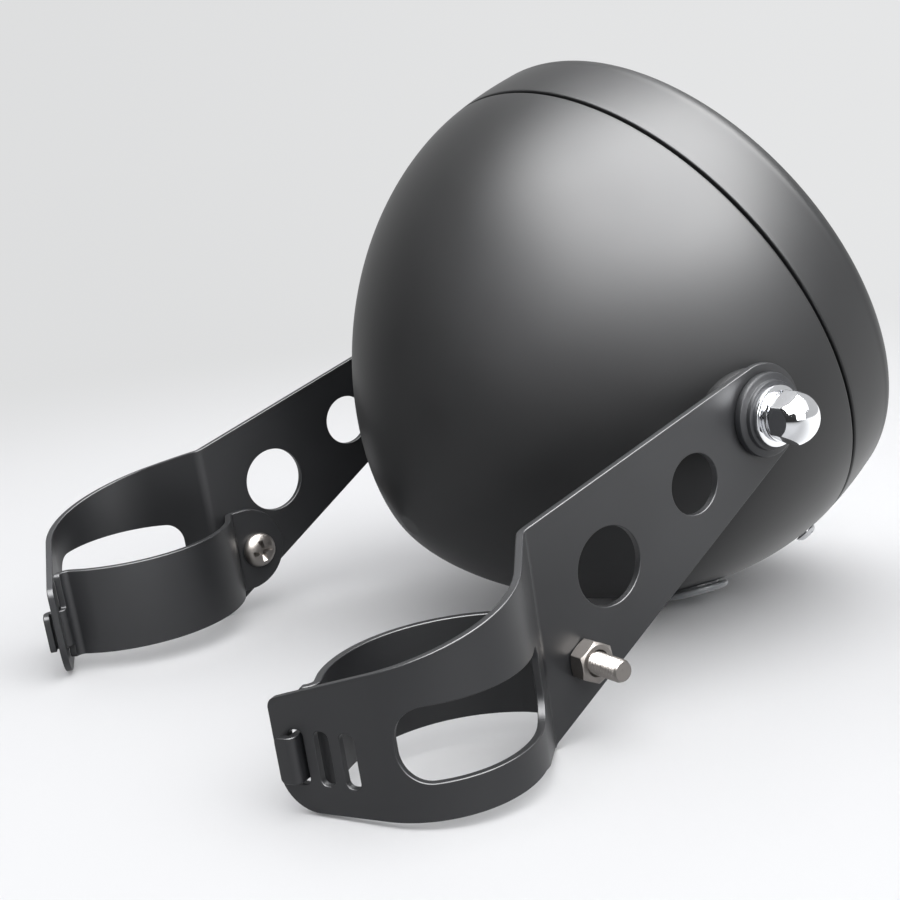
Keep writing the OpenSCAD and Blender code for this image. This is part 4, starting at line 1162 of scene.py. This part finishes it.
def along(tree, vector, axis, lo, hi, to_lo, to_hi):
    """A smooth ramp over how far a vector points along an axis."""
    dot = add(tree, "VectorMath", operation="DOT_PRODUCT")
    dot.inputs[1].default_value = axis
    tree.links.new(vector, dot.inputs[0])
    return spread(tree, dot.outputs["Value"], lo, hi, to_lo, to_hi, "SMOOTHSTEP")


def floor_mesh():
    """A disc in rings that grow wider with distance."""
    verts, faces, segs = [(0, 0, FLOOR_Z * MM)], [], 96
    radii = (0.5, 1.0, 2.0, 4.0, 9.0)
    for r in radii:
        verts += ring_of(r, FLOOR_Z * MM, segs)
    faces += [(0, 1 + i, 1 + (i + 1) % segs) for i in range(segs)]
    for k in range(len(radii) - 1):
        a, b = 1 + k * segs, 1 + (k + 1) * segs
        faces += [(a + i, b + i, b + (i + 1) % segs, a + (i + 1) % segs) for i in range(segs)]
    me = bpy.data.meshes.new("floor")
    me.from_pydata(verts, [], faces)
    me.update()
    return me


def build_floor():
    """A wide pale floor that melts into the pale surroundings with distance. In reflections it glows, dimmer
    on the dim side and brighter across, there right up to the object over its shadow: a painted reflection.
    """
    me = floor_mesh()
    linked("floor", me)
    mat, tree, bsdf = new_material("pale_floor")
    cloud = noise(tree, 3, 2, 0.5).outputs["Fac"]
    tree.links.new(ramp(tree, cloud, [(0.3, FLOOR_LOW), (0.7, FLOOR_HIGH)]), bsdf.inputs["Base Color"])
    bsdf.inputs["Roughness"].default_value = 0.75
    bsdf.inputs["Specular IOR Level"].default_value = 0.0
    place = tree.nodes["Place"].outputs["Object"]
    way = add(tree, "VectorMath", operation="NORMALIZE")
    tree.links.new(place, way.inputs[0])
    far = add(tree, "VectorMath", operation="LENGTH")
    tree.links.new(place, far.inputs[0])
    bright = along(tree, way.outputs["Vector"], ACROSS, -0.35, 0.35, 0.95, 1.03)
    dim = along(tree, way.outputs["Vector"], DIM_SIDE, -0.25, 0.7, 0.9, GLOSS_DARK)
    # painted reflection: on this side glossy rays see the floor glow extra, right up to the object where the
    # floor lies in shade
    glare_side = along(tree, way.outputs["Vector"], ACROSS, 0.2, 0.9, 0.0, 1.0)
    fade = spread(tree, far.outputs["Value"], *FLOOR_FADE, 0.0, 1.0, "SMOOTHSTEP")
    reflected, seen = seen_rays(tree)
    strength = add(tree, "Mix", data_type="FLOAT")
    tree.links.new(reflected, strength.inputs[0])
    tree.links.new(bright, strength.inputs[2])
    tree.links.new(worked_out(tree, "MULTIPLY_ADD", glare_side, FLOOR_GLARE, dim), strength.inputs[3])
    glow = add(tree, "Emission", Color=(*PALE, 1))
    tree.links.new(strength.outputs[0], glow.inputs["Strength"])
    near = worked_out(tree, "MULTIPLY", glare_side, reflected)
    reach = worked_out(tree, "MAXIMUM", fade, near)
    mix = blended(tree, worked_out(tree, "MULTIPLY", reach, seen), bsdf, glow)
    tree.links.new(mix.outputs[0], tree.nodes["Material Output"].inputs["Surface"])
    me.materials.append(mat)


def build_world():
    """Pale where it is seen; glosses see it dimmer on the side where a studio is dark."""
    world = bpy.data.worlds.new("studio")
    scene.world = world
    world.use_nodes = True
    tree = world.node_tree
    tree.nodes.clear()
    out = tree.nodes.new("ShaderNodeOutputWorld")
    place = tree.nodes.new("ShaderNodeTexCoord")
    way = place.outputs["Generated"]
    reflected, seen = seen_rays(tree)
    pale = add(tree, "Background", Color=(*PALE, 1))
    tree.links.new(along(tree, way, ACROSS, -0.35, 0.35, 0.95, 1.03), pale.inputs["Strength"])
    gloss = add(tree, "Background", Color=(*PALE, 1))
    tree.links.new(along(tree, way, DIM_SIDE, -0.25, 0.7, 0.9, GLOSS_DARK), gloss.inputs["Strength"])
    fill = add(tree, "Background", Color=(0.98, 0.983, 1.0, 1), Strength=FILL)
    last = blended(tree, seen, fill, blended(tree, reflected, pale, gloss))
    tree.links.new(last.outputs[0], out.inputs[0])


def softbox(name, toward, distance, size, power, gloss_only=False):
    data = bpy.data.lights.new(name, "AREA")
    data.shape = "RECTANGLE"
    data.size, data.size_y = size
    data.energy = power
    ob = linked(name, data)
    ob.location = Vector(toward).normalized() * distance
    ob.rotation_euler = (-ob.location).to_track_quat("-Z", "Y").to_euler()
    ob.visible_camera = False
    ob.visible_diffuse = not gloss_only


build_floor()
build_world()
softbox("overhead", (0.52, 0.02, 1.0), 1.35, (2.0, 2.0), 13.0)
softbox("highlight", (0.42, -0.14, 0.86), 1.2, (1.85, 1.75), 265.0, gloss_only=True)
softbox("side", (0.86, -0.12, 0.28), 1.3, (0.8, 0.9), 12.0, gloss_only=True)
